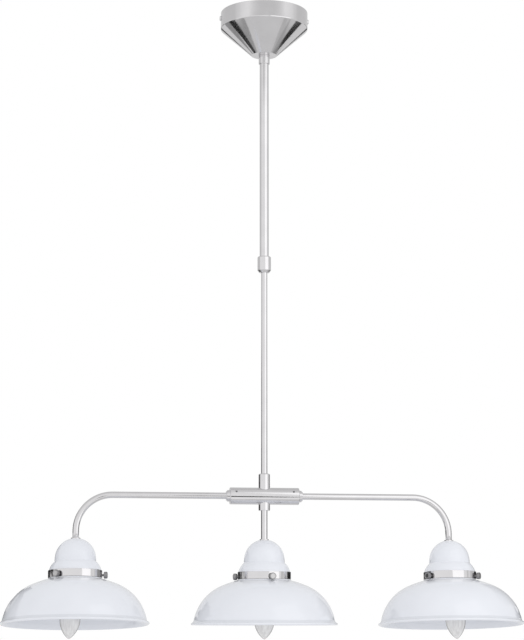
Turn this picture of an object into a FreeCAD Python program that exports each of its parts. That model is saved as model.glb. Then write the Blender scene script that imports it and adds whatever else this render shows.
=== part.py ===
import FreeCAD, Part

# Linear island pendant: three white shades below a chrome junction bar, which hangs from a ceiling
# canopy on a telescopic rod. Millimetres. The origin is the middle of the ceiling plane, +Z is up,
# the bar lies along X and the front of the lamp looks along -Y.

import math
import os
from types import SimpleNamespace

import Sketcher
from FreeCAD import Vector

SIZES = {
    # fits between pieces
    "running_gap": 0.05,
    "seat_gap": 0.3,
    # ceiling bracket
    "bracket_width": 20,
    "bracket_thickness": 2.5,
    "ear_drop": 20,
    "mounting_slot_spacing": 84,
    "mounting_slot_length": 20,
    "mounting_slot_width": 5,
    "cable_hole_radius": 8,
    # terminal block
    "terminal_length": 28,
    "terminal_width": 16,
    "terminal_height": 14,
    "terminal_offset": 21,
    "terminal_bore_radius": 2,
    # canopy
    "canopy_radius": 77.5,
    "canopy_band_height": 29,
    "canopy_cone_height": 49.2,
    "canopy_floor_radius": 22.5,
    "canopy_wall": 1.2,
    "side_screw_height": 12,
    "side_screw_radius": 2,
    "side_screw_head_radius": 4.3,
    "side_screw_head_height": 2.6,
    "side_screw_length": 8,
    # threaded joint of canopy and rod
    "nipple_radius": 5,
    "nipple_bore_radius": 3.5,
    "nipple_rise": 11,
    "nipple_depth": 7.5,
    "locknut_flats": 14,
    "locknut_height": 4,
    "lockwasher_radius": 9,
    "lockwasher_thickness": 1.5,
    "ferrule_radius": 9.8,
    "ferrule_height": 15.5,
    "ferrule_shoulder": 8,
    "ferrule_chamfer": 0.5,
    # telescopic rod
    "outer_tube_radius": 8,
    "outer_tube_wall": 1,
    "outer_tube_length": 371.8,
    "clutch_radius": 11.8,
    "clutch_length": 28.7,
    "clutch_overlap": 14.8,
    "clutch_top_fillet": 2.2,
    "clutch_nose_height": 4,
    "clutch_nose_radius": 8.5,
    "collet_length": 40,
    "collet_cone_height": 5.5,
    "collet_cone_radius": 8.7,
    "collet_tip_radius": 6.5,
    "collet_slit_width": 1,
    "rod_exposed_length": 352,
    "stop_ring_height": 8,
    # tube stock of the inner rod, the arms and the drop
    "tube_radius": 5.5,
    "tube_wall": 1,
    # junction bar
    "hub_radius": 14.5,
    "hub_wall": 1.5,
    "hub_half_length": 59.8,
    "hub_chamfer": 0.8,
    "rod_collar_radius": 9.8,
    "rod_collar_rise": 24,
    "rod_collar_taper": 1.5,
    "rod_collar_lip": 2.6,
    "saddle_depth": 1,
    "drop_collar_rise": 10.4,
    "drop_collar_chamfer": 0.5,
    "bush_depth": 18,
    "bush_flange_radius": 9.9,
    "bush_flange_length": 4.3,
    "bush_step_radius": 8.2,
    "bush_step_length": 1.8,
    "grub_screw_radius": 2,
    "grub_screw_inset": 10.3,
    "grub_screw_rise_angle": 29,
    "grub_socket_radius": 1.1,
    "grub_socket_depth": 2,
    # arms
    "arm_span": 322,
    "arm_bend_radius": 62,
    "arm_drop": 75.7,
    "arm_flange_radius": 8,
    "arm_flange_thickness": 3,
    "swivel_left": -4.1,
    "swivel_right": -3.6,
    # cap over each lampholder
    "cap_washer_radius": 7.9,
    "cap_washer_thickness": 2,
    "cap_wall": 1,
    "cap_radius": 35,
    "cap_crown_rise": 1.6,
    "cap_crown_height": 38,
    "cap_side_arc": 60,
    "cap_step": 0.9,
    "cap_step_height": 1,
    "cap_shoulder_height": 14.6,
    "cap_shoulder_arc": 32,
    "cap_nut_flats": 17,
    "cap_nut_height": 5,
    "tube_end_below_nut": 2,
    # band and thumbscrews
    "band_radius": 45.6,
    "band_wall": 1.1,
    "band_height": 12.4,
    "band_skirt": 2.4,
    "thumbscrew_radius": 2,
    "thumbscrew_below_band_top": 7.9,
    "thumbscrew_neck": 2.8,
    "thumbscrew_head_radius": 6.1,
    "thumbscrew_head_length": 6,
    "thumbscrew_head_chamfer": 0.6,
    "clocking_left": 230,
    "clocking_centre": 278.3,
    "clocking_right": 330,
    # shade
    "shade_wall": 3.2,
    "neck_radius": 41.5,
    "neck_lip": 1.8,
    "neck_lip_height": 3,
    "dome_height": 81.5,
    "dome_crown_rise": 8.6,
    "dome_below_band": 0.7,
    "dome_centre_drop": 6.9,
    "rim_radius": 125,
    "rim_overhang": 3.3,
    "rim_flare_height": 8.6,
    "rim_bead_height": 4.2,
    # lampholder
    "holder_radius": 14,
    "holder_wall": 2,
    "holder_length": 66,
    "holder_round": 7,
    "holder_web": 36,
    "holder_cable_radius": 3,
    "holder_gap": 0.5,
    "lamp_lean": 3.5,
    "contact_radius": 8.4,
    "contact_wall": 1,
    "contact_length": 22,
    # candle lamp
    "base_radius": 7,
    "base_length": 26,
    "base_collar_radius": 9,
    "base_collar_height": 5,
    "bulb_radius": 17.5,
    "bulb_length": 94.5,
    "bulb_wall": 0.8,
    "bulb_tip_height": 33,
    "bulb_tip_radius": 2.5,
    "stem_radius": 3,
    "stem_length": 34,
    "filament_radius": 0.5,
    "filament_span": 6,
    "filament_rise": 9,
}


class Size:
    """A length or an angle, kept as a formula of the sheet and read as a number."""

    def __init__(self, formula):
        self.formula = str(formula)

    def joined(self, sign, other):
        return Size(f"({self.formula} {sign} {formula_of(other)})")

    def __add__(self, other):
        return self.joined("+", other)

    def __radd__(self, other):
        return Size(formula_of(other)).joined("+", self)

    def __sub__(self, other):
        return self.joined("-", other)

    def __rsub__(self, other):
        return Size(formula_of(other)).joined("-", self)

    def __mul__(self, other):
        return self.joined("*", other)

    def __rmul__(self, other):
        return Size(formula_of(other)).joined("*", self)

    def __truediv__(self, other):
        return self.joined("/", other)

    def __neg__(self):
        return Size(f"(0 - {self.formula})")

    @property
    def number(self):
        return float(SHEET.evalExpression(self.formula))


def formula_of(value):
    return value.formula if isinstance(value, Size) else str(value)


def root(size):
    return Size(f"sqrt({formula_of(size)})")


def cosine(angle):
    return Size(f"cos({formula_of(angle)})")


def number_of(value):
    return value.number if isinstance(value, Size) else float(value)


def bind(item, **sizes):
    """Tie properties of a document object to formulas of the sheet."""
    for name, size in sizes.items():
        item.setExpression(name, formula_of(size))


# ---------------------------------------------------------------- the document and its sheet

DOCUMENT = FreeCAD.newDocument("Pendant")
SHEET = DOCUMENT.addObject("Spreadsheet::Sheet", "Dims")
for row, (alias, value) in enumerate(SIZES.items(), start=1):
    SHEET.set(f"A{row}", alias)
    SHEET.set(f"B{row}", str(value))
    SHEET.setAlias(f"B{row}", alias)
DOCUMENT.recompute()
D = SimpleNamespace(**{alias: Size(f"Dims.{alias}") for alias in SIZES})

SUBPARTS = []


def subpart(item, label, place=None):
    """List an object as a finished sub-part, with its own label and its place in the lamp."""
    item.Label = label
    if place is not None:
        item.setExpression("Placement", place)
    SUBPARTS.append(item)
    return item


# ---------------------------------------------------------------- places, as placement formulas

def vector_text(x, y, z):
    return f"vector({formula_of(x)}; {formula_of(y)}; {formula_of(z)})"


def moved(x=0, y=0, z=0):
    return f"placement({vector_text(x, y, z)}; rotation(vector(0; 0; 1); 0))"


def turned_about(axis, angle, x=0, y=0, z=0):
    """A turn about an axis through (x, y, z), where the piece's own origin goes."""
    directions = {"X": "vector(1; 0; 0)", "Y": "vector(0; 1; 0)", "Z": "vector(0; 0; 1)"}
    return f"placement({vector_text(x, y, z)}; rotation({directions[axis]}; {formula_of(angle)}))"


def chained(*places):
    return " * ".join(places)


# ---------------------------------------------------------------- building blocks

def origin_plane(body, role):
    return next(plane for plane in body.Origin.OriginFeatures if plane.Role == role)


def new_sketch(body, name, role):
    sketch = body.newObject("Sketcher::SketchObject", name)
    sketch.AttachmentSupport = [(origin_plane(body, role), "")]
    sketch.MapMode = "FlatFace"
    return sketch


def fix(sketch, kind, geometry, vertex, size):
    """Dimension one vertex from the sketch's origin by a formula."""
    index = sketch.addConstraint(Sketcher.Constraint(kind, -1, 1, geometry, vertex, number_of(size)))
    sketch.setExpression(f"Constraints[{index}]", formula_of(size))


def arc_between(start, end, radius, turn):
    """The short arc from start to end: turn is +1 for anticlockwise and -1 for clockwise."""
    half = (end - start) * 0.5
    middle = start + half
    rise = math.sqrt(max(radius ** 2 - half.Length ** 2, 0))
    sideways = Vector(-half.y, half.x, 0).normalize() * rise * turn
    centre = middle + sideways
    first, last = (start, end) if turn > 0 else (end, start)
    angles = [math.atan2(point.y - centre.y, point.x - centre.x) for point in (first, last)]
    return Part.ArcOfCircle(Part.Circle(centre, Vector(0, 0, 1), radius), angles[0], angles[1])


def draw_outline(sketch, points):
    """Close an outline through (x, y) points of formulas.

    A point with two more values, (x, y, radius, turn), is reached by an arc.
    """
    corners = [Vector(number_of(point[0]), number_of(point[1]), 0) for point in points]
    ends = []
    for index, point in enumerate(points):
        start, end = corners[index - 1], corners[index]
        if len(point) == 4:
            turn = point[3]
            edge = sketch.addGeometry(arc_between(start, end, number_of(point[2]), turn), False)
            ends.append((edge, 1, 2) if turn > 0 else (edge, 2, 1))
        else:
            ends.append((sketch.addGeometry(Part.LineSegment(start, end), False), 1, 2))
    for index, point in enumerate(points):
        edge, first, last = ends[index]
        following, following_first, following_last = ends[(index + 1) % len(points)]
        sketch.addConstraint(Sketcher.Constraint("Coincident", edge, last, following, following_first))
        fix(sketch, "DistanceX", edge, last, point[0])
        fix(sketch, "DistanceY", edge, last, point[1])
        if len(point) == 4:
            radius = sketch.addConstraint(Sketcher.Constraint("Radius", edge, number_of(point[2])))
            sketch.setExpression(f"Constraints[{radius}]", formula_of(point[2]))


def turned_body(name, outline):
    """A body of revolution about its own Z axis, from an outline of (radius, height) points."""
    body = DOCUMENT.addObject("PartDesign::Body", name)
    sketch = new_sketch(body, name + "_outline", "XZ_Plane")
    draw_outline(sketch, outline)
    revolution = body.newObject("PartDesign::Revolution", name + "_turned")
    revolution.Profile = sketch
    revolution.ReferenceAxis = (sketch, ["V_Axis"])
    revolution.Angle = 360
    sketch.Visibility = False
    return body


def padded_body(name, role, outline, length):
    """A body padded evenly to both sides of an origin plane."""
    body = DOCUMENT.addObject("PartDesign::Body", name)
    sketch = new_sketch(body, name + "_outline", role)
    draw_outline(sketch, outline)
    pad = body.newObject("PartDesign::Pad", name + "_pad")
    pad.Profile = sketch
    pad.Midplane = True
    bind(pad, Length=length)
    return body


def round_hole(body, role, x, y, radius):
    """A round hole right through a body, across an origin plane, centred on (x, y) of its sketch."""
    DOCUMENT.recompute()
    before = body.Shape.Volume
    name = f"{body.Name}_hole"
    sketch = new_sketch(body, name, role)
    circle = Part.Circle(Vector(number_of(x), number_of(y), 0), Vector(0, 0, 1), number_of(radius))
    edge = sketch.addGeometry(circle, False)
    fix(sketch, "DistanceX", edge, 3, x)
    fix(sketch, "DistanceY", edge, 3, y)
    index = sketch.addConstraint(Sketcher.Constraint("Radius", edge, number_of(radius)))
    sketch.setExpression(f"Constraints[{index}]", formula_of(radius))
    pocket = body.newObject("PartDesign::Pocket", name + "_pocket")
    pocket.Profile = sketch
    pocket.Type = "ThroughAll"
    pocket.Midplane = True
    DOCUMENT.recompute()
    if body.Shape.Volume >= before:
        raise RuntimeError(f"{name} cuts nothing")
    return pocket


def cylinder(name, radius, height, place=None):
    item = DOCUMENT.addObject("Part::Cylinder", name)
    bind(item, Radius=radius, Height=height)
    if place is not None:
        item.setExpression("Placement", place)
    return item


def fused(name, items):
    item = DOCUMENT.addObject("Part::MultiFuse", name)
    item.Shapes = items
    return item


def cut(name, base, tool):
    item = DOCUMENT.addObject("Part::Cut", name)
    item.Base = base
    item.Tool = tool
    return item


def ring(inner, outer, low, high):
    """The outline of a plain ring between two radii and two heights."""
    return [(inner, low), (outer, low), (outer, high), (inner, high)]


def hexagon_nut(name, flats, bore, height):
    """A nut that rises from its own XY plane, with a plain bore."""
    prism = DOCUMENT.addObject("Part::Prism", name + "_prism")
    prism.Polygon = 6
    bind(prism, Circumradius=flats / (2 * cosine(30)), Height=height)
    return cut(name, prism, cylinder(name + "_bore", bore, height))


def dome(side_radius, side_arc, side_level, top_level, inset=0):
    """A dome's two tangent arcs, or the parallel pair that lies the inset below them.

    The crown arc is centred on the axis and tops out at top_level. The side arc ends upright at
    side_radius and side_level. They meet on the line through both centres.
    """
    height = top_level - side_level
    across = side_radius - side_arc
    crown = (across * across + height * height - side_arc * side_arc) / (2 * (height - side_arc))
    centre = top_level - crown
    share = (crown - inset) / (crown - side_arc)
    return SimpleNamespace(
        crown=crown - inset,
        crown_centre=centre,
        side=side_arc - inset,
        side_centre=across,
        side_radius=side_radius - inset,
        meet_radius=across * share,
        meet_level=centre + (side_level - centre) * share,
    )


def arc_height(radius, across):
    """Height over an arc's centre at a distance across from it."""
    return root(radius * radius - across * across)


# ---------------------------------------------------------------- levels of the whole lamp

HOLE_FIT = D.tube_radius + D.running_gap
CANOPY_FLOOR = -(D.canopy_band_height + D.canopy_cone_height)
FERRULE_FOOT = CANOPY_FLOOR - D.ferrule_height
OUTER_TUBE_TOP = CANOPY_FLOOR - D.ferrule_shoulder
OUTER_TUBE_FOOT = OUTER_TUBE_TOP - D.outer_tube_length
CLUTCH_TOP = OUTER_TUBE_FOOT + D.clutch_overlap
CLUTCH_FOOT = CLUTCH_TOP - D.clutch_length
COLLET_TOP = OUTER_TUBE_FOOT + D.collet_length
STOP_RING_FOOT = COLLET_TOP + D.seat_gap
HUB_LEVEL = CLUTCH_FOOT - D.rod_exposed_length - D.rod_collar_rise - D.hub_radius
HUB_BORE = D.hub_radius - D.hub_wall


# ---------------------------------------------------------------- ceiling end

def make_ceiling_bracket():
    inner_radius = D.canopy_radius - D.canopy_wall
    half_width = D.bracket_width / 2
    ear_face = arc_height(inner_radius, half_width) - D.seat_gap
    ear_inside = ear_face - D.bracket_thickness
    strip = padded_body("bracket_strip", "XZ_Plane", [
        (-ear_face, 0),
        (-ear_face, -D.ear_drop),
        (-ear_inside, -D.ear_drop),
        (-ear_inside, -D.bracket_thickness),
        (ear_inside, -D.bracket_thickness),
        (ear_inside, -D.ear_drop),
        (ear_face, -D.ear_drop),
        (ear_face, 0),
    ], D.bracket_width)
    round_hole(strip, "XY_Plane", 0, 0, D.cable_hole_radius)
    round_hole(strip, "YZ_Plane", 0, -D.side_screw_height, D.side_screw_radius + D.running_gap)
    slots = [mounting_slot(side) for side in (-1, 1)]
    subpart(cut("ceiling_bracket", strip, fused("bracket_slots", slots)), "ceiling_bracket")


def mounting_slot(side):
    """The tool for one slot along X: a box with a round end at both sides."""
    name = "slot_left" if side < 0 else "slot_right"
    middle = D.mounting_slot_spacing / 2 * side
    straight = D.mounting_slot_length - D.mounting_slot_width
    deep = D.bracket_thickness * 3
    level = -2 * D.bracket_thickness
    box = DOCUMENT.addObject("Part::Box", name + "_box")
    bind(box, Length=straight, Width=D.mounting_slot_width, Height=deep)
    box.setExpression("Placement", moved(middle - straight / 2, -D.mounting_slot_width / 2, level))
    ends = [
        cylinder(f"{name}_end_{number}", D.mounting_slot_width / 2, deep,
                 moved(middle + straight / 2 * direction, 0, level))
        for number, direction in ((1, -1), (2, 1))
    ]
    return fused(name, [box] + ends)


def make_terminal_block():
    """A three-way block under the bracket, its wire ways along X and a clamping screw in each."""
    block = DOCUMENT.addObject("Part::Box", "terminal_body")
    bind(block, Length=D.terminal_width, Width=D.terminal_length, Height=D.terminal_height)
    block.setExpression("Placement", moved(
        D.terminal_offset - D.terminal_width / 2,
        -D.terminal_length / 2,
        -D.bracket_thickness - D.terminal_height,
    ))
    ways = [
        cylinder(f"terminal_way_{number}", D.terminal_bore_radius, D.terminal_width * 2,
                 turned_about("Y", 90, D.terminal_offset - D.terminal_width,
                              D.terminal_length / 3 * (number - 2),
                              -D.bracket_thickness - D.terminal_height / 2))
        for number in (1, 2, 3)
    ]
    subpart(cut("terminal_block", block, fused("terminal_ways", ways)), "terminal_block")


def make_canopy():
    """A spun cup: the band, a cone below it and a flat floor round the rod's nipple."""
    slope = D.canopy_cone_height / (D.canopy_radius - D.canopy_floor_radius)
    lift = D.canopy_wall * root(1 + slope * slope)
    inner_radius = D.canopy_radius - D.canopy_wall
    inner_corner = -D.canopy_band_height - D.canopy_wall * slope + lift
    inner_floor = CANOPY_FLOOR + D.canopy_wall
    inner_floor_radius = D.canopy_floor_radius - (lift - D.canopy_wall) / slope
    bore = D.nipple_radius + D.running_gap
    shell = turned_body("canopy_shell", [
        (bore, CANOPY_FLOOR),
        (D.canopy_floor_radius, CANOPY_FLOOR),
        (D.canopy_radius, -D.canopy_band_height),
        (D.canopy_radius, 0),
        (inner_radius, 0),
        (inner_radius, inner_corner),
        (inner_floor_radius, inner_floor),
        (bore, inner_floor),
    ])
    round_hole(shell, "YZ_Plane", 0, -D.side_screw_height, D.side_screw_radius + D.running_gap)
    subpart(shell, "canopy")


def make_canopy_side_screws():
    """Two pan-head screws through the canopy's band into the bracket's ears."""
    shank_end = D.canopy_radius - D.side_screw_length
    crown = D.side_screw_head_height / 2
    screws = []
    for side, angle in (("left", -90), ("right", 90)):
        screw = turned_body(f"side_screw_{side}", [
            (0, shank_end),
            (D.side_screw_radius, shank_end),
            (D.side_screw_radius, D.canopy_radius),
            (D.side_screw_head_radius, D.canopy_radius),
            (D.side_screw_head_radius, D.canopy_radius + crown),
            (D.side_screw_head_radius - crown, D.canopy_radius + D.side_screw_head_height, crown, 1),
            (0, D.canopy_radius + D.side_screw_head_height),
        ])
        screw.setExpression("Placement", turned_about("Y", angle, 0, 0, -D.side_screw_height))
        screws.append(screw)
    group = DOCUMENT.addObject("Part::Compound", "canopy_side_screws")
    group.Links = screws
    subpart(group, "canopy_side_screws")


def make_rod_joint():
    """The nipple, its locknut and washer inside the canopy, and the ferrule below it."""
    floor = CANOPY_FLOOR + D.canopy_wall
    nipple_foot = CANOPY_FLOOR - D.nipple_depth
    subpart(turned_body("rod_nipple", ring(
        D.nipple_bore_radius, D.nipple_radius, nipple_foot, floor + D.nipple_rise)), "rod_nipple")
    washer = turned_body("lockwasher", ring(
        D.nipple_radius + D.running_gap, D.lockwasher_radius, 0, D.lockwasher_thickness))
    nut = hexagon_nut("locknut", D.locknut_flats, D.nipple_radius + D.running_gap, D.locknut_height)
    nut.setExpression("Placement", moved(0, 0, D.lockwasher_thickness))
    group = DOCUMENT.addObject("Part::Compound", "rod_locknut")
    group.Links = [washer, nut]
    subpart(group, "rod_locknut", moved(0, 0, floor))
    subpart(turned_body("ferrule", [
        (D.outer_tube_radius + D.running_gap, FERRULE_FOOT),
        (D.ferrule_radius - D.ferrule_chamfer, FERRULE_FOOT),
        (D.ferrule_radius, FERRULE_FOOT + D.ferrule_chamfer),
        (D.ferrule_radius, CANOPY_FLOOR),
        (D.nipple_radius + D.running_gap, CANOPY_FLOOR),
        (D.nipple_radius + D.running_gap, OUTER_TUBE_TOP),
        (D.outer_tube_radius + D.running_gap, OUTER_TUBE_TOP),
    ]), "ferrule")


# ---------------------------------------------------------------- telescopic rod

def make_outer_tube():
    subpart(turned_body("outer_tube", ring(
        D.outer_tube_radius - D.outer_tube_wall, D.outer_tube_radius,
        OUTER_TUBE_FOOT, OUTER_TUBE_TOP)), "outer_tube")


def make_clutch_collet():
    """A slit sleeve that the collar's cone presses on to the inner tube."""
    sleeve_radius = D.outer_tube_radius - D.outer_tube_wall - D.running_gap
    cone_top = OUTER_TUBE_FOOT
    blank = turned_body("collet_blank", [
        (HOLE_FIT, cone_top - D.collet_cone_height),
        (D.collet_tip_radius, cone_top - D.collet_cone_height),
        (D.collet_cone_radius, cone_top),
        (sleeve_radius, cone_top),
        (sleeve_radius, COLLET_TOP),
        (HOLE_FIT, COLLET_TOP),
    ])
    slit_height = D.collet_length / 2 + D.collet_cone_height
    slits = []
    for number, angle in ((1, 0), (2, 90)):
        slit = DOCUMENT.addObject("Part::Box", f"collet_slit_{number}")
        bind(slit, Length=4 * D.outer_tube_radius, Width=D.collet_slit_width, Height=slit_height)
        slit.setExpression("Placement", chained(
            turned_about("Z", angle),
            moved(-2 * D.outer_tube_radius, -D.collet_slit_width / 2, cone_top - D.collet_cone_height)))
        slits.append(slit)
    subpart(cut("clutch_collet", blank, fused("collet_slits", slits)), "clutch_collet")


def make_clutch_collar():
    """The clamping collar: a sleeve over the outer tube whose inner cone closes the collet."""
    tube_fit = D.outer_tube_radius + D.running_gap
    cone_gap = D.seat_gap
    cone_top_radius = D.collet_cone_radius + cone_gap
    cone_tip_radius = D.collet_tip_radius + cone_gap
    cone_foot = OUTER_TUBE_FOOT - D.collet_cone_height - cone_gap
    subpart(turned_body("clutch_collar", [
        (HOLE_FIT, CLUTCH_FOOT),
        (D.clutch_nose_radius, CLUTCH_FOOT),
        (D.clutch_radius, CLUTCH_FOOT + D.clutch_nose_height),
        (D.clutch_radius, CLUTCH_TOP - D.clutch_top_fillet),
        (D.clutch_radius - D.clutch_top_fillet, CLUTCH_TOP, D.clutch_top_fillet, 1),
        (tube_fit, CLUTCH_TOP),
        (tube_fit, OUTER_TUBE_FOOT + D.seat_gap),
        (cone_top_radius, OUTER_TUBE_FOOT + D.seat_gap),
        (cone_top_radius, OUTER_TUBE_FOOT),
        (cone_tip_radius, cone_foot),
        (HOLE_FIT, cone_foot),
    ]), "clutch_collar")


def make_inner_tube():
    """The sliding tube, from its stop ring down into the junction bar."""
    top = STOP_RING_FOOT + D.stop_ring_height
    subpart(turned_body("inner_tube", ring(
        D.tube_radius - D.tube_wall, D.tube_radius, HUB_LEVEL + HUB_BORE, top)), "inner_tube")
    bore = D.outer_tube_radius - D.outer_tube_wall
    subpart(turned_body("stop_ring", ring(
        HOLE_FIT, bore - D.running_gap, STOP_RING_FOOT, top)), "stop_ring")


# ---------------------------------------------------------------- junction bar

def make_hub():
    """The horizontal bar: a bored cylinder along X, with a hole for each tube and grub screw."""
    tube = turned_body("hub_tube", [
        (HUB_BORE, -D.hub_half_length),
        (D.hub_radius - D.hub_chamfer, -D.hub_half_length),
        (D.hub_radius, D.hub_chamfer - D.hub_half_length),
        (D.hub_radius, D.hub_half_length - D.hub_chamfer),
        (D.hub_radius - D.hub_chamfer, D.hub_half_length),
        (HUB_BORE, D.hub_half_length),
    ])
    round_hole(tube, "YZ_Plane", 0, 0, HOLE_FIT)
    drills = [grub_drill(side) for side in (-1, 1)]
    subpart(cut("hub", tube, fused("hub_drills", drills)), "hub", turned_about("Y", 90, 0, 0, HUB_LEVEL))


def grub_place(side):
    """Place of a grub screw's axis in the bar's own frame, where Z runs along the bar.

    The screws look to the front and a little up, near both ends of the bar.
    """
    along = (D.hub_half_length - D.grub_screw_inset) * side
    return chained(turned_about("Z", -90 - D.grub_screw_rise_angle, 0, 0, along), turned_about("Y", 90))


def grub_drill(side):
    name = "hub_drill_left" if side < 0 else "hub_drill_right"
    return cylinder(name, D.grub_screw_radius + D.running_gap, D.hub_radius * 2, grub_place(side))


def make_grub_screws():
    """Two socket screws, flush with the bar, that press on the arms through the bushes."""
    tip = D.tube_radius + D.seat_gap
    head = D.hub_radius - D.seat_gap
    screws = []
    for side, name in ((-1, "grub_screw_left"), (1, "grub_screw_right")):
        screw = turned_body(name, [
            (0, tip),
            (D.grub_screw_radius, tip),
            (D.grub_screw_radius, head),
            (D.grub_socket_radius, head),
            (D.grub_socket_radius, head - D.grub_socket_depth),
            (0, head - D.grub_socket_depth),
        ])
        screw.setExpression("Placement", grub_place(side))
        screws.append(screw)
    group = DOCUMENT.addObject("Part::Compound", "grub_screws")
    group.Links = screws
    subpart(group, "grub_screws", turned_about("Y", 90, 0, 0, HUB_LEVEL))


def make_bush(side, name):
    """The plug in one end of the bar, in which an arm turns."""
    plug = turned_body(name + "_plug", [
        (HOLE_FIT, D.hub_half_length - D.bush_depth),
        (HUB_BORE - D.running_gap, D.hub_half_length - D.bush_depth),
        (HUB_BORE - D.running_gap, D.hub_half_length),
        (D.bush_flange_radius, D.hub_half_length),
        (D.bush_flange_radius, D.hub_half_length + D.bush_flange_length),
        (D.bush_step_radius, D.hub_half_length + D.bush_flange_length),
        (D.bush_step_radius, D.hub_half_length + D.bush_flange_length + D.bush_step_length),
        (HOLE_FIT, D.hub_half_length + D.bush_flange_length + D.bush_step_length),
    ])
    plug.setExpression("Placement", turned_about("Y", 90 * side, 0, 0, 0))
    drill = cylinder(name + "_drill", D.grub_screw_radius + D.running_gap, D.hub_radius * 2,
                     chained(turned_about("Y", 90), grub_place(side)))
    subpart(cut(name, plug, drill), name, moved(0, 0, HUB_LEVEL))


def saddle(name):
    """The bar's outside as a tool, to fit a collar to it."""
    return cylinder(name, D.hub_radius + D.running_gap, 4 * D.hub_radius,
                    turned_about("Y", 90, -2 * D.hub_radius, 0, 0))


def make_collars():
    """The collars that cover the tubes' holes above and below the bar."""
    radius = D.rod_collar_radius
    hidden = arc_height(D.hub_radius, radius) - D.saddle_depth
    top = D.hub_radius + D.rod_collar_rise
    upper = turned_body("rod_collar_blank", [
        (HOLE_FIT, hidden),
        (radius, hidden),
        (radius, top - D.rod_collar_taper),
        (HOLE_FIT + D.rod_collar_lip, top),
        (HOLE_FIT, top),
    ])
    subpart(cut("rod_collar", upper, saddle("rod_collar_saddle")), "rod_collar", moved(0, 0, HUB_LEVEL))
    foot = D.hub_radius + D.drop_collar_rise
    lower = turned_body("drop_collar_blank", [
        (HOLE_FIT, -foot),
        (radius - D.drop_collar_chamfer, -foot),
        (radius, D.drop_collar_chamfer - foot),
        (radius, -hidden),
        (HOLE_FIT, -hidden),
    ])
    subpart(cut("drop_collar", lower, saddle("drop_collar_saddle")), "drop_collar",
            moved(0, 0, HUB_LEVEL))


# ---------------------------------------------------------------- arms and drop

CAP_TOP = -D.arm_drop
NUT_TOP = CAP_TOP - D.cap_wall
TUBE_END = NUT_TOP - D.cap_nut_height - D.tube_end_below_nut


def make_drop_tube():
    subpart(turned_body("drop_tube", ring(
        D.tube_radius - D.tube_wall, D.tube_radius, TUBE_END, -HUB_BORE)), "drop_tube",
        moved(0, 0, HUB_LEVEL))


def make_arm(side, name, swivel):
    """A tube from inside the bar, through its bush, out along X and bent down to the cap."""
    body = DOCUMENT.addObject("PartDesign::Body", name + "_tube")
    inner_end = D.hub_half_length - D.bush_depth - D.seat_gap - D.arm_flange_thickness
    flange_face = inner_end + D.arm_flange_thickness
    bend_start = D.arm_span - D.arm_bend_radius
    route = new_sketch(body, name + "_route", "XZ_Plane")
    corners = [(inner_end, 0), (bend_start, 0), (D.arm_span, -D.arm_bend_radius), (D.arm_span, TUBE_END)]
    corners = [(x * side, y) for x, y in corners]
    points = [Vector(number_of(x), number_of(y), 0) for x, y in corners]
    level_run = route.addGeometry(Part.LineSegment(points[0], points[1]), False)
    bend = route.addGeometry(arc_between(points[1], points[2], D.arm_bend_radius.number, -side), False)
    down_run = route.addGeometry(Part.LineSegment(points[2], points[3]), False)
    bend_first, bend_last = (1, 2) if side < 0 else (2, 1)
    route.addConstraint(Sketcher.Constraint("Coincident", level_run, 2, bend, bend_first))
    route.addConstraint(Sketcher.Constraint("Coincident", bend, bend_last, down_run, 1))
    for edge, vertex, corner in ((level_run, 1, 0), (level_run, 2, 1), (down_run, 1, 2), (down_run, 2, 3)):
        fix(route, "DistanceX", edge, vertex, corners[corner][0])
        fix(route, "DistanceY", edge, vertex, corners[corner][1])
    radius = route.addConstraint(Sketcher.Constraint("Radius", bend, D.arm_bend_radius.number))
    route.setExpression(f"Constraints[{radius}]", D.arm_bend_radius.formula)
    section = new_sketch(body, name + "_section", "YZ_Plane")
    bind(section, **{"AttachmentOffset.Base.z": inner_end * side})
    for wall_radius in (D.tube_radius, D.tube_radius - D.tube_wall):
        circle = section.addGeometry(
            Part.Circle(Vector(0, 0, 0), Vector(0, 0, 1), wall_radius.number), False)
        section.addConstraint(Sketcher.Constraint("Coincident", circle, 3, -1, 1))
        index = section.addConstraint(Sketcher.Constraint("Radius", circle, wall_radius.number))
        section.setExpression(f"Constraints[{index}]", wall_radius.formula)
    pipe = body.newObject("PartDesign::AdditivePipe", name + "_pipe")
    pipe.Profile = section
    pipe.Spine = route
    DOCUMENT.recompute()
    flange = turned_body(name + "_flange", ring(
        D.tube_radius - D.running_gap, D.arm_flange_radius, inner_end, flange_face))
    flange.setExpression("Placement", turned_about("Y", 90 * side))
    subpart(fused(name, [body, flange]), name, turned_about("X", swivel, 0, 0, HUB_LEVEL))


# ---------------------------------------------------------------- one light

# Heights are counted from the bar's axis, straight above the middle of the shade.
CAP_STEP = CAP_TOP - D.cap_crown_height
SHOULDER_TOP = CAP_STEP - D.cap_step_height
BAND_TOP = SHOULDER_TOP - D.cap_shoulder_height
BAND_FOOT = BAND_TOP - D.band_height
BAND_BORE = D.band_radius - D.band_wall
SCREW_LEVEL = BAND_TOP - D.thumbscrew_below_band_top
LIP_FOOT = SCREW_LEVEL + D.thumbscrew_radius + D.running_gap * 2
HOLDER_TOP = TUBE_END - D.holder_gap


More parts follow.
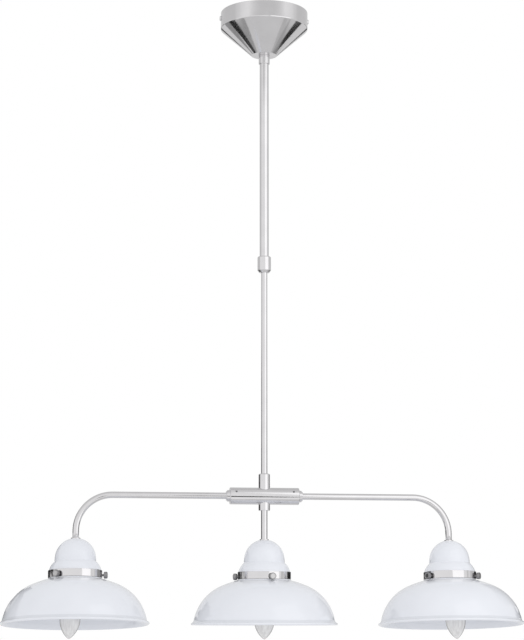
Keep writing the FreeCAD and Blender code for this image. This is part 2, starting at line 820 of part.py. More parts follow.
def make_cap(light, place):
    """A spun cup: a crown and side of two tangent arcs, a small step, a flared shoulder and a skirt."""
    wall = D.cap_wall
    skirt = BAND_BORE - D.running_gap
    crown_top = CAP_TOP + D.cap_crown_rise
    outer = dome(D.cap_radius, D.cap_side_arc, CAP_STEP, crown_top)
    inner = dome(D.cap_radius, D.cap_side_arc, CAP_STEP, crown_top, wall)
    flat = arc_height(outer.crown, CAP_TOP - outer.crown_centre)
    inner_flat = arc_height(inner.crown, CAP_TOP - wall - inner.crown_centre)
    subpart(turned_body(light + "_cap_shell", [
        (HOLE_FIT, CAP_TOP - wall),
        (HOLE_FIT, CAP_TOP),
        (flat, CAP_TOP),
        (outer.meet_radius, outer.meet_level, outer.crown, -1),
        (outer.side_radius, CAP_STEP, outer.side, -1),
        (D.cap_radius + D.cap_step, SHOULDER_TOP),
        (skirt, BAND_TOP, D.cap_shoulder_arc, -1),
        (skirt, BAND_TOP - D.band_skirt),
        (skirt - wall, BAND_TOP - D.band_skirt),
        (skirt - wall, BAND_TOP),
        (D.cap_radius + D.cap_step - wall, SHOULDER_TOP, D.cap_shoulder_arc, 1),
        (inner.side_radius, CAP_STEP),
        (inner.meet_radius, inner.meet_level, inner.side, 1),
        (inner_flat, CAP_TOP - wall, inner.crown, 1),
    ]), light + "_cap", place)


def make_cap_fixing(light, place):
    """The washer over the cap and the nut inside it, both round the end of the tube."""
    washer_foot = CAP_TOP
    subpart(turned_body(light + "_washer_ring", ring(
        HOLE_FIT, D.cap_washer_radius, washer_foot, washer_foot + D.cap_washer_thickness)),
        light + "_washer", place)
    nut = hexagon_nut(light + "_nut_blank", D.cap_nut_flats, HOLE_FIT, D.cap_nut_height)
    subpart(nut, light + "_cap_nut", chained(place, moved(0, 0, NUT_TOP - D.cap_nut_height)))


def make_band(light, place):
    """The chromed ring round the shade's neck, with three holes for the thumbscrews."""
    band = turned_body(light + "_band_ring", ring(BAND_BORE, D.band_radius, BAND_FOOT, BAND_TOP))
    DOCUMENT.recompute()
    before = band.Shape.Volume
    sketch = new_sketch(band, light + "_band_hole", "YZ_Plane")
    hole_radius = D.thumbscrew_radius + D.running_gap
    circle = sketch.addGeometry(
        Part.Circle(Vector(0, SCREW_LEVEL.number, 0), Vector(0, 0, 1), hole_radius.number), False)
    fix(sketch, "DistanceX", circle, 3, 0)
    fix(sketch, "DistanceY", circle, 3, SCREW_LEVEL)
    index = sketch.addConstraint(Sketcher.Constraint("Radius", circle, hole_radius.number))
    sketch.setExpression(f"Constraints[{index}]", hole_radius.formula)
    pocket = band.newObject("PartDesign::Pocket", light + "_band_pocket")
    pocket.Profile = sketch
    pocket.Type = "ThroughAll"
    pocket.Reversed = True
    DOCUMENT.recompute()
    pattern = band.newObject("PartDesign::PolarPattern", light + "_band_pattern")
    pattern.Originals = [pocket]
    pattern.Axis = (sketch, ["V_Axis"])
    pattern.Angle = 360
    pattern.Occurrences = 3
    band.Tip = pattern
    DOCUMENT.recompute()
    if band.Shape.Volume >= before:
        raise RuntimeError(f"{light}_band has no screw holes")
    subpart(band, light + "_band", place)


def make_thumbscrew(light, number, place):
    """A headed screw along X: a tip at the shade's neck, a bare stretch and a round head."""
    tip = D.neck_radius + D.seat_gap
    head = D.band_radius + D.thumbscrew_neck
    outer = head + D.thumbscrew_head_length
    chamfer = D.thumbscrew_head_chamfer
    screw = turned_body(f"{light}_screw_{number}", [
        (0, tip),
        (D.thumbscrew_radius, tip),
        (D.thumbscrew_radius, head),
        (D.thumbscrew_head_radius - chamfer, head),
        (D.thumbscrew_head_radius, head + chamfer),
        (D.thumbscrew_head_radius, outer - chamfer),
        (D.thumbscrew_head_radius - chamfer, outer),
        (0, outer),
    ])
    subpart(screw, f"{light}_thumbscrew_{number}", chained(
        place, turned_about("Z", 120 * (number - 1)), turned_about("Y", 90, 0, 0, SCREW_LEVEL)))


def make_shade(light, place):
    """A domed shade of even wall: a lipped neck, crown and side of tangent arcs, and a flared rim.

    The side arc's centre lies below the rim's foot, and the flare leaves the side without a corner.
    """
    wall = D.shade_wall
    neck = D.neck_radius
    neck_bore = neck - wall
    full_height = D.dome_height + D.dome_centre_drop
    side_radius = D.rim_radius - D.rim_overhang
    side_arc = full_height - D.dome_crown_rise
    crown = dome(side_radius, side_arc, 0, full_height).crown
    neck_level = BAND_FOOT - D.dome_below_band
    crown_top = neck_level + crown - arc_height(crown, neck)
    rim_foot = crown_top - D.dome_height
    side_level = crown_top - full_height
    outer = dome(side_radius, side_arc, side_level, crown_top)
    inner = dome(side_radius, side_arc, side_level, crown_top, wall)
    flare_level = rim_foot + D.rim_flare_height
    flare_rise = flare_level - side_level
    flare_radius = outer.side_centre + arc_height(outer.side, flare_rise)
    inner_flare_radius = inner.side_centre + arc_height(inner.side, flare_rise)
    bead = D.rim_bead_height / 2
    across = D.rim_radius - bead - flare_radius
    down = D.rim_flare_height - D.rim_bead_height
    lean = across * (flare_radius - outer.side_centre) / outer.side - down * flare_rise / outer.side
    flare_arc = (across * across + down * down) / (2 * lean)
    subpart(turned_body(light + "_shade_shell", [
        (neck_bore, inner.crown_centre + arc_height(inner.crown, neck_bore)),
        (inner.meet_radius, inner.meet_level, inner.crown, -1),
        (inner_flare_radius, flare_level, inner.side, -1),
        (D.rim_radius - wall, rim_foot),
        (D.rim_radius - bead, rim_foot),
        (D.rim_radius, rim_foot + bead, bead, 1),
        (D.rim_radius - bead, rim_foot + D.rim_bead_height, bead, 1),
        (flare_radius, flare_level, flare_arc, -1),
        (outer.meet_radius, outer.meet_level, outer.side, 1),
        (neck, neck_level, outer.crown, 1),
        (neck, LIP_FOOT),
        (neck + D.neck_lip, LIP_FOOT),
        (neck + D.neck_lip, LIP_FOOT + D.neck_lip_height),
        (neck_bore, LIP_FOOT + D.neck_lip_height),
    ]), light + "_shade", place)


# ---------------------------------------------------------------- lampholder and lamp

# Heights are counted from the holder's top.
WEB_FOOT = -D.holder_web
CONTACT_FOOT = WEB_FOOT - D.contact_length
BASE_TOP = WEB_FOOT - D.contact_wall * 2 - D.seat_gap
BASE_FOOT = BASE_TOP - D.base_length


def make_lampholder(light, place):
    """A round-shouldered holder: a thick web for the cable and an open skirt round the contact."""
    skirt_bore = D.holder_radius - D.holder_wall
    subpart(turned_body(light + "_holder_shell", [
        (D.holder_cable_radius, 0),
        (D.holder_cable_radius, WEB_FOOT),
        (skirt_bore, WEB_FOOT),
        (skirt_bore, -D.holder_length),
        (D.holder_radius, -D.holder_length),
        (D.holder_radius, -D.holder_round),
        (D.holder_radius - D.holder_round, 0, D.holder_round, 1),
    ]), light + "_lampholder", place)


def make_contact_sleeve(light, place):
    """The holder's screw sleeve: a cup that hangs mouth down from the web."""
    inner = D.contact_radius - D.contact_wall
    subpart(turned_body(light + "_sleeve_cup", [
        (0, WEB_FOOT),
        (0, WEB_FOOT - 2 * D.contact_wall),
        (inner, WEB_FOOT - 2 * D.contact_wall),
        (inner, CONTACT_FOOT),
        (D.contact_radius, CONTACT_FOOT),
        (D.contact_radius, WEB_FOOT),
    ]), light + "_contact_sleeve", place)


def make_bulb_base(light, place):
    """The lamp's cap: a contact point, the screw shell and a flared collar for the glass."""
    point = D.base_radius / 2
    collar = BASE_FOOT + D.base_collar_height
    subpart(turned_body(light + "_base_shell", [
        (0, BASE_TOP),
        (0, BASE_FOOT),
        (D.base_collar_radius, BASE_FOOT),
        (D.base_collar_radius, collar - D.base_collar_height / 2),
        (D.base_radius, collar),
        (D.base_radius, BASE_TOP - point / 2),
        (point, BASE_TOP),
    ]), light + "_bulb_base", place)


def make_bulb_glass(light, place):
    """A hollow candle shape: a narrow neck, a round belly and a taper tangent to its small tip."""
    wall = D.bulb_wall
    neck = D.base_collar_radius - wall
    tip = BASE_FOOT - D.bulb_length
    tip_round = D.bulb_tip_radius
    belly = tip + D.bulb_tip_height
    neck_across = D.bulb_radius - neck
    neck_run = D.bulb_length - D.bulb_tip_height
    neck_arc = (neck_run * neck_run + neck_across * neck_across) / (2 * neck_across)
    tip_run = D.bulb_tip_height - tip_round
    reach = D.bulb_radius * D.bulb_radius + tip_run * tip_run - tip_round * tip_round
    taper = reach / (2 * (D.bulb_radius - tip_round))
    centre_across = D.bulb_radius - taper
    share = taper / (taper - tip_round)
    inner_share = (taper - wall) / (taper - tip_round)
    subpart(turned_body(light + "_glass_shell", [
        (neck - wall, BASE_FOOT),
        (D.bulb_radius - wall, belly, neck_arc, -1),
        (centre_across * (1 - inner_share), belly - tip_run * inner_share, taper - wall, -1),
        (0, tip + wall, tip_round - wall, -1),
        (0, tip),
        (centre_across * (1 - share), belly - tip_run * share, tip_round, 1),
        (D.bulb_radius, belly, taper, 1),
        (neck, BASE_FOOT, neck_arc, 1),
    ]), light + "_bulb_glass", place)


def make_filament(light, place):
    """The glass stem with two lead wires and the arched filament, as one solid set by code."""
    stem_top = BASE_FOOT.number
    stem_radius = D.stem_radius.number
    stem_length = D.stem_length.number
    wire = D.filament_radius.number
    span = D.filament_span.number
    rise = D.filament_rise.number
    stem = Part.makeCone(stem_radius, stem_radius / 2, stem_length,
                         Vector(0, 0, stem_top), Vector(0, 0, -1))
    support_level = stem_top - stem_length + span
    leads = []
    for side in (-1, 1):
        foot = Vector(side * span, 0, stem_top - stem_length - rise)
        lead_root = Vector(0, 0, support_level)
        leads.append(Part.makeCylinder(wire, (foot - lead_root).Length, lead_root, foot - lead_root))
        leads.append(Part.makeSphere(wire, foot))
    coil = Part.makeCylinder(wire, 2 * span, Vector(-span, 0, stem_top - stem_length - rise), Vector(1, 0, 0))
    item = DOCUMENT.addObject("Part::Feature", light + "_filament_set")
    item.Shape = stem.multiFuse(leads + [coil])
    subpart(item, light + "_bulb_filament", place)


def make_light(light, offset, swivel, clocking, lean):
    """One complete light. Its frame hangs from the bar's axis, turned by the arm's swivel."""
    hanging = turned_about("X", swivel, offset, 0, HUB_LEVEL)
    clocked = chained(hanging, turned_about("Z", clocking))
    leaning = chained(hanging, turned_about("Y", lean, 0, 0, HOLDER_TOP))
    make_cap_fixing(light, hanging)
    make_cap(light, hanging)
    make_band(light, clocked)
    for number in (1, 2, 3):
        make_thumbscrew(light, number, clocked)
    make_shade(light, clocked)
    make_lampholder(light, leaning)
    make_contact_sleeve(light, leaning)
    make_bulb_base(light, leaning)
    make_bulb_glass(light, leaning)
    make_filament(light, leaning)


# ---------------------------------------------------------------- the lamp

def check_and_export():
    """Refuse a failed object or a bad solid, then write one STEP file for each sub-part."""
    DOCUMENT.recompute()
    for item in DOCUMENT.Objects:
        if "Invalid" in item.State or "Error" in item.State:
            raise RuntimeError(f"{item.Name} has failed: {item.State}")
    os.makedirs("parts", exist_ok=True)
    for item in SUBPARTS:
        if item.Shape.isNull() or not item.Shape.isValid() or not item.Shape.Solids:
            raise RuntimeError(f"{item.Label} has no valid solid")
    for item in SUBPARTS:
        item.Shape.exportStep(f"parts/{item.Label}.step")


make_ceiling_bracket()
make_terminal_block()
make_canopy()
make_canopy_side_screws()
make_rod_joint()
make_outer_tube()
make_clutch_collet()
make_clutch_collar()
make_inner_tube()
make_hub()
make_grub_screws()
make_bush(-1, "bush_left")
make_bush(1, "bush_right")
make_collars()
make_drop_tube()
make_arm(-1, "arm_left", D.swivel_left)
make_arm(1, "arm_right", D.swivel_right)
make_light("left", -D.arm_span, D.swivel_left, D.clocking_left, D.lamp_lean)
make_light("centre", Size(0), Size(0), D.clocking_centre, Size(0))
make_light("right", D.arm_span, D.swivel_right, D.clocking_right, -D.lamp_lean)
check_and_export()
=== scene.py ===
import math

import bpy
from mathutils import Matrix, Vector


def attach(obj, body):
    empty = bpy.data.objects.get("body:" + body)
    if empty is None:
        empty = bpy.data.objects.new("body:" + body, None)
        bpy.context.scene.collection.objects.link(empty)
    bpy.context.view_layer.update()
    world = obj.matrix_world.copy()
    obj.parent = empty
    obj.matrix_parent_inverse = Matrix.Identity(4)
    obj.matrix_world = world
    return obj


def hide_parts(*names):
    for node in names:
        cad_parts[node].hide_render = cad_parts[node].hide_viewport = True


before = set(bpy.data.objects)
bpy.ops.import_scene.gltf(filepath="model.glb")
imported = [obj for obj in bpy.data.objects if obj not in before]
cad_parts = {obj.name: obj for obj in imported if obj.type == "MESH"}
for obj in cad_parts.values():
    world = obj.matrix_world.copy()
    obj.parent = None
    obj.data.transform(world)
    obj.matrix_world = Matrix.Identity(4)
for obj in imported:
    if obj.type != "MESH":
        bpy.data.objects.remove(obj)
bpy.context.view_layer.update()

# Linear island pendant. The pieces are in millimetres in the CAD's own frame: the origin is the middle
# of the ceiling plane, +Z is up, the bar lies along X and the front looks along -Y. The studio round
# them is in metres.
MM = 0.001
TAU = 2 * math.pi
FINE_ROUND = 192     # steps round the canopy and the shades
ROUND = 128          # steps round the caps and bands
CLUTCH_ROUND = 96    # steps round the clutch collar
SMALL_ROUND = 64     # steps round the tubes and other small pieces

# fits between pieces
GAP = 0.05           # on the radius, where one turns or slides in the other
SEAT = 0.3           # where one rests on the other

# tubes, and the holes round them
TUBE_RADIUS = 5.5
TUBE_BORE = 4.5
TUBE_HOLE = TUBE_RADIUS + GAP
ROD_RADIUS = 8.0
ROD_BORE = 7.0
ROD_HOLE = ROD_RADIUS + GAP
NIPPLE_HOLE = 5.0 + GAP

# ceiling end
CANOPY_RADIUS = 77.5
CANOPY_FLOOR_RADIUS = 22.5
CANOPY_BAND_HEIGHT = 29.0
CANOPY_CONE_HEIGHT = 49.2
CANOPY_WALL = 1.2
FERRULE_RADIUS = 9.8
FERRULE_HEIGHT = 15.5
FERRULE_SHOULDER = 8.0
FERRULE_CHAMFER = 0.5

# telescopic rod
OUTER_TUBE_LENGTH = 371.8
COLLET_LENGTH = 40.0
COLLET_CONE_HEIGHT = 5.5
COLLET_CONE_RADIUS = 8.7
COLLET_TIP_RADIUS = 6.5
STOP_RING_HEIGHT = 8.0
CLUTCH_RADIUS = 11.8
CLUTCH_LENGTH = 28.7
CLUTCH_OVERLAP = 14.8
CLUTCH_TOP_FILLET = 2.2
CLUTCH_NOSE_RADIUS = 8.5
CLUTCH_NOSE_HEIGHT = 4.0
ROD_SHOWN = 352.0
ROD_COLLAR_RISE = 24.0

# junction bar and arms
HUB_RADIUS = 14.5
HUB_BORE = 13.0
HUB_HALF = 59.8
BUSH_DEPTH = 18.0
ARM_SPAN = 322.0
ARM_BEND = 62.0
ARM_DROP = 75.7
ARM_STRAIGHT_STEPS = 12
ARM_BEND_STEP = 3    # degrees
ARM_FLANGE_RADIUS = 8.0
ARM_FLANGE = 3.0

# cap and band of a light
CAP_RADIUS = 35.0
CAP_HEIGHT = 38.0
CAP_WALL = 1.0
CAP_SIDE_ARC = 60.0
CAP_CROWN_RISE = 1.6
CAP_STEP_WIDTH = 0.9
CAP_STEP_HEIGHT = 1.0
CAP_SHOULDER_HEIGHT = 14.6
CAP_SHOULDER_ARC = 32.0
CAP_NUT_HEIGHT = 5.0
TUBE_BELOW_NUT = 2.0
WASHER_RADIUS = 7.9
WASHER_HEIGHT = 2.0
BAND_RADIUS = 45.6
BAND_BORE = BAND_RADIUS - 1.1
BAND_HEIGHT = 12.4
BAND_SKIRT = 2.4

# shade
SHADE_WALL = 3.2
NECK_RADIUS = 41.5
NECK_LIP = 1.8
NECK_LIP_HEIGHT = 3.0
SHOULDER_RADIUS = 49.0
SHOULDER_ROUND = 4.0
DOME_HEIGHT = 81.5
DOME_CROWN_RISE = 8.6
DOME_CENTRE_DROP = 6.9
DOME_BELOW_BAND = 0.7
RIM_RADIUS = 125.0
RIM_OVERHANG = 3.3
RIM_FLARE_HEIGHT = 8.6
RIM_BEAD_RADIUS = 2.1

# thumbscrew, along its own axis from the light's
SCREW_RADIUS = 2.0
SCREW_BELOW_BAND_TOP = 7.9
SCREW_TIP = NECK_RADIUS + SEAT
SCREW_NECK = 2.8
SCREW_HEAD = BAND_RADIUS + SCREW_NECK
SCREW_HEAD_LENGTH = 6.0
SCREW_END = SCREW_HEAD + SCREW_HEAD_LENGTH
SCREW_HEAD_RADIUS = 5.7
SCREW_FACE_RADIUS = 4.9
SCREW_FACE_DEPTH = 0.5
THREAD_COUNT = 16
THREAD_DEPTH = 0.22
THREAD_STEP = 0.35
KNURL_DEPTH = 0.14
KNURL_RIDGES = 36

# levels, counted down from the ceiling
CANOPY_FLOOR = -CANOPY_BAND_HEIGHT - CANOPY_CONE_HEIGHT
FERRULE_FOOT = CANOPY_FLOOR - FERRULE_HEIGHT
OUTER_TUBE_TOP = CANOPY_FLOOR - FERRULE_SHOULDER
OUTER_TUBE_FOOT = OUTER_TUBE_TOP - OUTER_TUBE_LENGTH
INNER_TUBE_TOP = OUTER_TUBE_FOOT + COLLET_LENGTH + SEAT + STOP_RING_HEIGHT
CLUTCH_TOP = OUTER_TUBE_FOOT + CLUTCH_OVERLAP
CLUTCH_FOOT = CLUTCH_TOP - CLUTCH_LENGTH
HUB_LEVEL = CLUTCH_FOOT - ROD_SHOWN - ROD_COLLAR_RISE - HUB_RADIUS

# levels of a light, counted down from the bar's axis
CAP_TOP = -ARM_DROP
TUBE_END = CAP_TOP - CAP_WALL - CAP_NUT_HEIGHT - TUBE_BELOW_NUT
CAP_STEP = CAP_TOP - CAP_HEIGHT
CAP_SHOULDER_TOP = CAP_STEP - CAP_STEP_HEIGHT
BAND_TOP = CAP_SHOULDER_TOP - CAP_SHOULDER_HEIGHT
BAND_FOOT = BAND_TOP - BAND_HEIGHT
SCREW_LEVEL = BAND_TOP - SCREW_BELOW_BAND_TOP
LIP_FOOT = SCREW_LEVEL + SCREW_RADIUS + 2 * GAP

LIGHTS = {
    "left": {"offset": -ARM_SPAN, "swivel": -4.1, "clocking": 230.0, "body": "left_light"},
    "centre": {"offset": 0.0, "swivel": 0.0, "clocking": 278.3, "body": "drop_frame"},
    "right": {"offset": ARM_SPAN, "swivel": -3.6, "clocking": 330.0, "body": "right_light"},
}


# ---------------------------------------------------------------- outlines

def arc(start, end, radius, turn, step=1.5):
    """Points after start on the short arc to end. turn +1 is anticlockwise, -1 clockwise."""
    a, b = Vector(start), Vector(end)
    half = (b - a) / 2
    rise = math.sqrt(max(radius ** 2 - half.length ** 2, 0))
    centre = a + half + Vector((-half.y, half.x)).normalized() * rise * turn
    first = math.atan2(a.y - centre.y, a.x - centre.x)
    sweep = (math.atan2(b.y - centre.y, b.x - centre.x) - first) * turn % TAU * turn
    count = max(3, math.ceil(abs(sweep) * radius / step), math.ceil(abs(sweep) / math.radians(9)))
    return [
        (centre.x + radius * math.cos(first + sweep * i / count),
         centre.y + radius * math.sin(first + sweep * i / count))
        for i in range(1, count + 1)
    ]


def outline(points, soft=0.3):
    """Expand (x, y) and (x, y, radius, turn) points, and ease every sharp corner by a small round."""
    loop = []
    for index, point in enumerate(points):
        if len(point) == 4:
            loop += arc(points[index - 1][:2], point[:2], point[2], point[3])
        else:
            loop.append(tuple(point))
    return eased(loop, soft)


def eased(loop, soft):
    """Each corner over 18 degrees becomes a short curve, held by an extra point on both sides."""
    result = []
    for index, point in enumerate(loop):
        here = Vector(point)
        back = Vector(loop[index - 1]) - here
        ahead = Vector(loop[(index + 1) % len(loop)]) - here
        on_axis = abs(here.x) < 1e-6
        if on_axis or min(back.length, ahead.length) < 1e-6:
            result.append(point)
            continue
        bend = math.degrees(math.pi - back.angle(ahead))
        if bend < 18:
            result.append(point)
            continue
        reach = min(soft, 0.3 * back.length, 0.3 * ahead.length)
        back.normalize()
        ahead.normalize()
        first, final = here + back * reach, here + ahead * reach
        result.append(tuple(here + back * reach * 1.5))
        for share in (0, 0.25, 0.5, 0.75, 1):
            curve = first * (1 - share) ** 2 + here * 2 * share * (1 - share) + final * share ** 2
            result.append(tuple(curve))
        result.append(tuple(here + ahead * reach * 1.5))
    return result


def ring(inner, outer, low, high):
    """The outline of a plain ring or tube."""
    return [(inner, low), (outer, low), (outer, high), (inner, high)]


# ---------------------------------------------------------------- meshes

def turn_about(axis, degrees, x=0.0, y=0.0, z=0.0):
    """A turn, then a move to (x, y, z)."""
    return Matrix.Translation((x, y, z)) @ Matrix.Rotation(math.radians(degrees), 4, axis)


def new_piece(name, vertices, faces, body, node, place):
    """A smooth mesh from millimetre points, set in place, that stands for a CAD node on a body."""
    mesh = bpy.data.meshes.new(name)
    points = [place @ Vector(vertex) * MM for vertex in vertices]
    mesh.from_pydata(points, [], faces)
    mesh.validate()
    mesh.shade_smooth()
    mesh.update()
    item = bpy.data.objects.new(name, mesh)
    bpy.context.scene.collection.objects.link(item)
    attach(item, body)
    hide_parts(node)
    return item


def turned(loop, steps=ROUND, relief=None):
    """Vertices and faces of an outline turned about Z. relief(radius, angle) may shift a radius."""
    vertices, rings, faces = [], [], []
    for radius, height in loop:
        if radius < 1e-6:
            rings.append([len(vertices)])
            vertices.append((0, 0, height))
            continue
        first = len(vertices)
        for step in range(steps):
            angle = TAU * step / steps
            r = relief(radius, angle) if relief else radius
            vertices.append((r * math.cos(angle), r * math.sin(angle), height))
        rings.append(list(range(first, first + steps)))
    for index, low in enumerate(rings):
        high = rings[(index + 1) % len(rings)]
        if len(low) == 1 and len(high) == 1:
            continue
        for step in range(steps):
            after = (step + 1) % steps
            if len(low) == 1:
                faces.append((low[0], high[after], high[step]))
            elif len(high) == 1:
                faces.append((low[step], low[after], high[0]))
            else:
                faces.append((low[step], low[after], high[after], high[step]))
    return vertices, faces


def turned_piece(name, points, body, node, place=Matrix.Identity(4), soft=0.3, steps=ROUND, relief=None):
    """A piece made by turning an outline about Z."""
    vertices, faces = turned(outline(points, soft), steps, relief)
    return new_piece(name, vertices, faces, body, node, place)


def swept_tube(route, outer, inner, steps=SMALL_ROUND):
    """A tube along a route of points in the XZ plane, with a wall and two ring-shaped ends."""
    vertices, faces = [], []
    count = len(route)
    for radius in (outer, inner):
        for index, (x, z) in enumerate(route):
            before = Vector(route[max(index - 1, 0)])
            after = Vector(route[min(index + 1, count - 1)])
            along = (after - before).normalized()
            side = Vector((-along.y, along.x))
            for step in range(steps):
                angle = TAU * step / steps
                across = radius * math.cos(angle)
                vertices.append((x + side.x * across, radius * math.sin(angle), z + side.y * across))
    shift = count * steps
    for index in range(count - 1):
        for step in range(steps):
            after = (step + 1) % steps
            a, b = index * steps + step, index * steps + after
            faces.append((a, b, b + steps, a + steps))
            faces.append((b + shift, a + shift, a + shift + steps, b + shift + steps))
    for row, flip in ((0, True), (count - 1, False)):
        for step in range(steps):
            after = (step + 1) % steps
            a, b = row * steps + step, row * steps + after
            face = (a, b, b + shift, a + shift)
            faces.append(face[::-1] if flip else face)
    return vertices, faces


# ---------------------------------------------------------------- camera

CAMERA_DISTANCE = 3.293
CAMERA_HEIGHT = -1.0895
CAMERA_AZIMUTH = math.radians(-7.8)
CAMERA_PITCH = math.radians(9.21)
CAMERA_PAN = math.radians(0.068)
CAMERA_LENS = 107.55


def make_camera():
    data = bpy.data.cameras.new("camera")
    data.sensor_width = 36
    data.lens = CAMERA_LENS
    item = bpy.data.objects.new("camera", data)
    bpy.context.scene.collection.objects.link(item)
    item.location = (math.sin(CAMERA_AZIMUTH) * CAMERA_DISTANCE,
                     -math.cos(CAMERA_AZIMUTH) * CAMERA_DISTANCE, CAMERA_HEIGHT)
    item.rotation_euler = (math.radians(90) + CAMERA_PITCH, 0, CAMERA_AZIMUTH + CAMERA_PAN)
    bpy.context.scene.camera = item


make_camera()


# ---------------------------------------------------------------- shader nodes

def material(name):
    """A node material with a Principled shader: returns it, its node tree and the shader."""
    made = bpy.data.materials.new(name)
    made.use_nodes = True
    tree = made.node_tree
    return made, tree, next(node for node in tree.nodes if node.type == "BSDF_PRINCIPLED")


def noise(tree, scale, detail=3.0, roughness=0.5, stretch=(1, 1, 1)):
    """Noise over the object's own coordinates, in metres, finer along the axes that stretch names."""
    coordinates = tree.nodes.new("ShaderNodeTexCoord")
    mapping = tree.nodes.new("ShaderNodeMapping")
    mapping.inputs["Scale"].default_value = stretch
    texture = tree.nodes.new("ShaderNodeTexNoise")
    texture.inputs["Scale"].default_value = scale
    texture.inputs["Detail"].default_value = detail
    texture.inputs["Roughness"].default_value = roughness
    tree.links.new(coordinates.outputs["Object"], mapping.inputs["Vector"])
    tree.links.new(mapping.outputs["Vector"], texture.inputs["Vector"])
    return texture.outputs["Fac"]


def ranged(tree, value, low, high, start=0.3, end=0.7):
    """Spread a value that runs from start to end between two limits."""
    spread = tree.nodes.new("ShaderNodeMapRange")
    spread.inputs["From Min"].default_value = start
    spread.inputs["From Max"].default_value = end
    spread.inputs["To Min"].default_value = low
    spread.inputs["To Max"].default_value = high
    tree.links.new(value, spread.inputs["Value"])
    return spread.outputs["Result"]


def blended(tree, value, first, second, start=0.35, end=0.65):
    """Colour between two tones by a noise value."""
    ramp = tree.nodes.new("ShaderNodeValToRGB")
    ramp.color_ramp.elements[0].position = start
    ramp.color_ramp.elements[0].color = (*first, 1)
    ramp.color_ramp.elements[1].position = end
    ramp.color_ramp.elements[1].color = (*second, 1)
    tree.links.new(value, ramp.inputs["Fac"])
    return ramp.outputs["Color"]


def maths(tree, operation, first, second):
    """One Math node over two values, each a number or a socket."""
    node = tree.nodes.new("ShaderNodeMath")
    node.operation = operation
    for index, value in enumerate((first, second)):
        if isinstance(value, float):
            node.inputs[index].default_value = value
        else:
            tree.links.new(value, node.inputs[index])
    return node.outputs["Value"]


def mixed(tree, factor, first, second):
    """The first shader where the factor is 0 and the second where it is 1."""
    mix = tree.nodes.new("ShaderNodeMixShader")
    tree.links.new(factor, mix.inputs["Fac"])
    tree.links.new(first, mix.inputs[1])
    tree.links.new(second, mix.inputs[2])
    return mix.outputs["Shader"]


def bumped(tree, shader, value, strength, depth):
    """Let a value raise the shader's surface by up to depth metres."""
    bump = tree.nodes.new("ShaderNodeBump")
    bump.inputs["Strength"].default_value = strength
    bump.inputs["Distance"].default_value = depth
    tree.links.new(value, bump.inputs["Height"])
    tree.links.new(bump.outputs["Normal"], shader.inputs["Normal"])


# ---------------------------------------------------------------- materials

def metal(name, light, dark, rough, grain, bump=0.15, depth=0.00002, stretch=(1, 1, 1)):
    """A metal with faint cloudy tone, roughness that varies and a fine surface grain."""
    made, tree, shader = material(name)
    shader.inputs["Metallic"].default_value = 1.0
    cloud = noise(tree, 38, 4)
    fine = noise(tree, grain, 2, 0.6, stretch)
    tree.links.new(blended(tree, cloud, dark, light), shader.inputs["Base Color"])
    tree.links.new(ranged(tree, fine, *rough), shader.inputs["Roughness"])
    bumped(tree, shader, fine, bump, depth)
    return made


def coated(name, light, dark, rough, coat=0.0, grain=420, bump=0.08):
    """A painted or moulded surface: soft tone changes, an uneven gloss and a slight orange peel."""
    made, tree, shader = material(name)
    cloud = noise(tree, 14, 3)
    peel = noise(tree, grain, 2, 0.5)
    shader.inputs["Coat Weight"].default_value = coat
    shader.inputs["Coat Roughness"].default_value = 0.05
    tree.links.new(blended(tree, cloud, dark, light), shader.inputs["Base Color"])
    tree.links.new(ranged(tree, peel, *rough), shader.inputs["Roughness"])
    bumped(tree, shader, peel, bump, 0.00004)
    return made


def glass(name, light, dark, painted_edge_shade, rough, clear):
    """Lamp glass: streaks along its length, painted shade where it is seen edge on standing in for the dark
    edge that reflection and refraction give, and a wavy surface.
    """
    made, tree, shader = material(name)
    shader.inputs["Transmission Weight"].default_value = clear
    shader.inputs["IOR"].default_value = 1.5
    streaks = noise(tree, 230, 2, 0.5, (1, 1, 0.06))
    facing = tree.nodes.new("ShaderNodeLayerWeight")
    facing.inputs["Blend"].default_value = 0.5
    edge = tree.nodes.new("ShaderNodeMix")
    edge.data_type = "RGBA"
    edge.inputs["B"].default_value = (*painted_edge_shade, 1)
    tree.links.new(ranged(tree, facing.outputs["Facing"], 0.0, 1.0, 0.45, 0.9), edge.inputs["Factor"])
    tree.links.new(blended(tree, streaks, dark, light), edge.inputs["A"])
    tree.links.new(edge.outputs["Result"], shader.inputs["Base Color"])
    tree.links.new(ranged(tree, streaks, *rough), shader.inputs["Roughness"])
    bumped(tree, shader, streaks, 0.2, 0.0005)
    return made


CHROME = metal("chrome", (0.70, 0.692, 0.702), (0.67, 0.662, 0.672), (0.07, 0.11), 900, 0.04, 0.00001)
ZINC = metal("zinc_steel", (0.62, 0.63, 0.64), (0.46, 0.47, 0.49), (0.28, 0.45), 300, 0.2, 0.00003,
             (0.15, 1, 1))
# painted shade: the thumbscrews' chrome is darkened, a little on the head's face and more on the knurled
# side, standing in for shadow in the knurls and the dark surroundings they reflect
SCREW_FACE_PAINTED_SHADE = metal("screw_face_painted_shade", (0.50, 0.495, 0.50), (0.42, 0.415, 0.42), (0.10, 0.18), 900, 0.06, 0.00001)
KNURL_PAINTED_SHADE = metal("knurled_chrome_painted_shade", (0.34, 0.335, 0.34), (0.24, 0.235, 0.24), (0.10, 0.18), 900, 0.06, 0.00001)
BRASS = metal("brass", (0.80, 0.62, 0.32), (0.66, 0.48, 0.22), (0.2, 0.34), 400)
CAP_BRASS = metal("lamp_cap_brass", (0.72, 0.64, 0.46), (0.58, 0.50, 0.34), (0.2, 0.36), 500)
DARK_STEEL = metal("grub_steel", (0.42, 0.42, 0.43), (0.34, 0.34, 0.35), (0.3, 0.45), 600)
TUNGSTEN = metal("filament", (0.34, 0.33, 0.32), (0.2, 0.2, 0.2), (0.3, 0.5), 900)
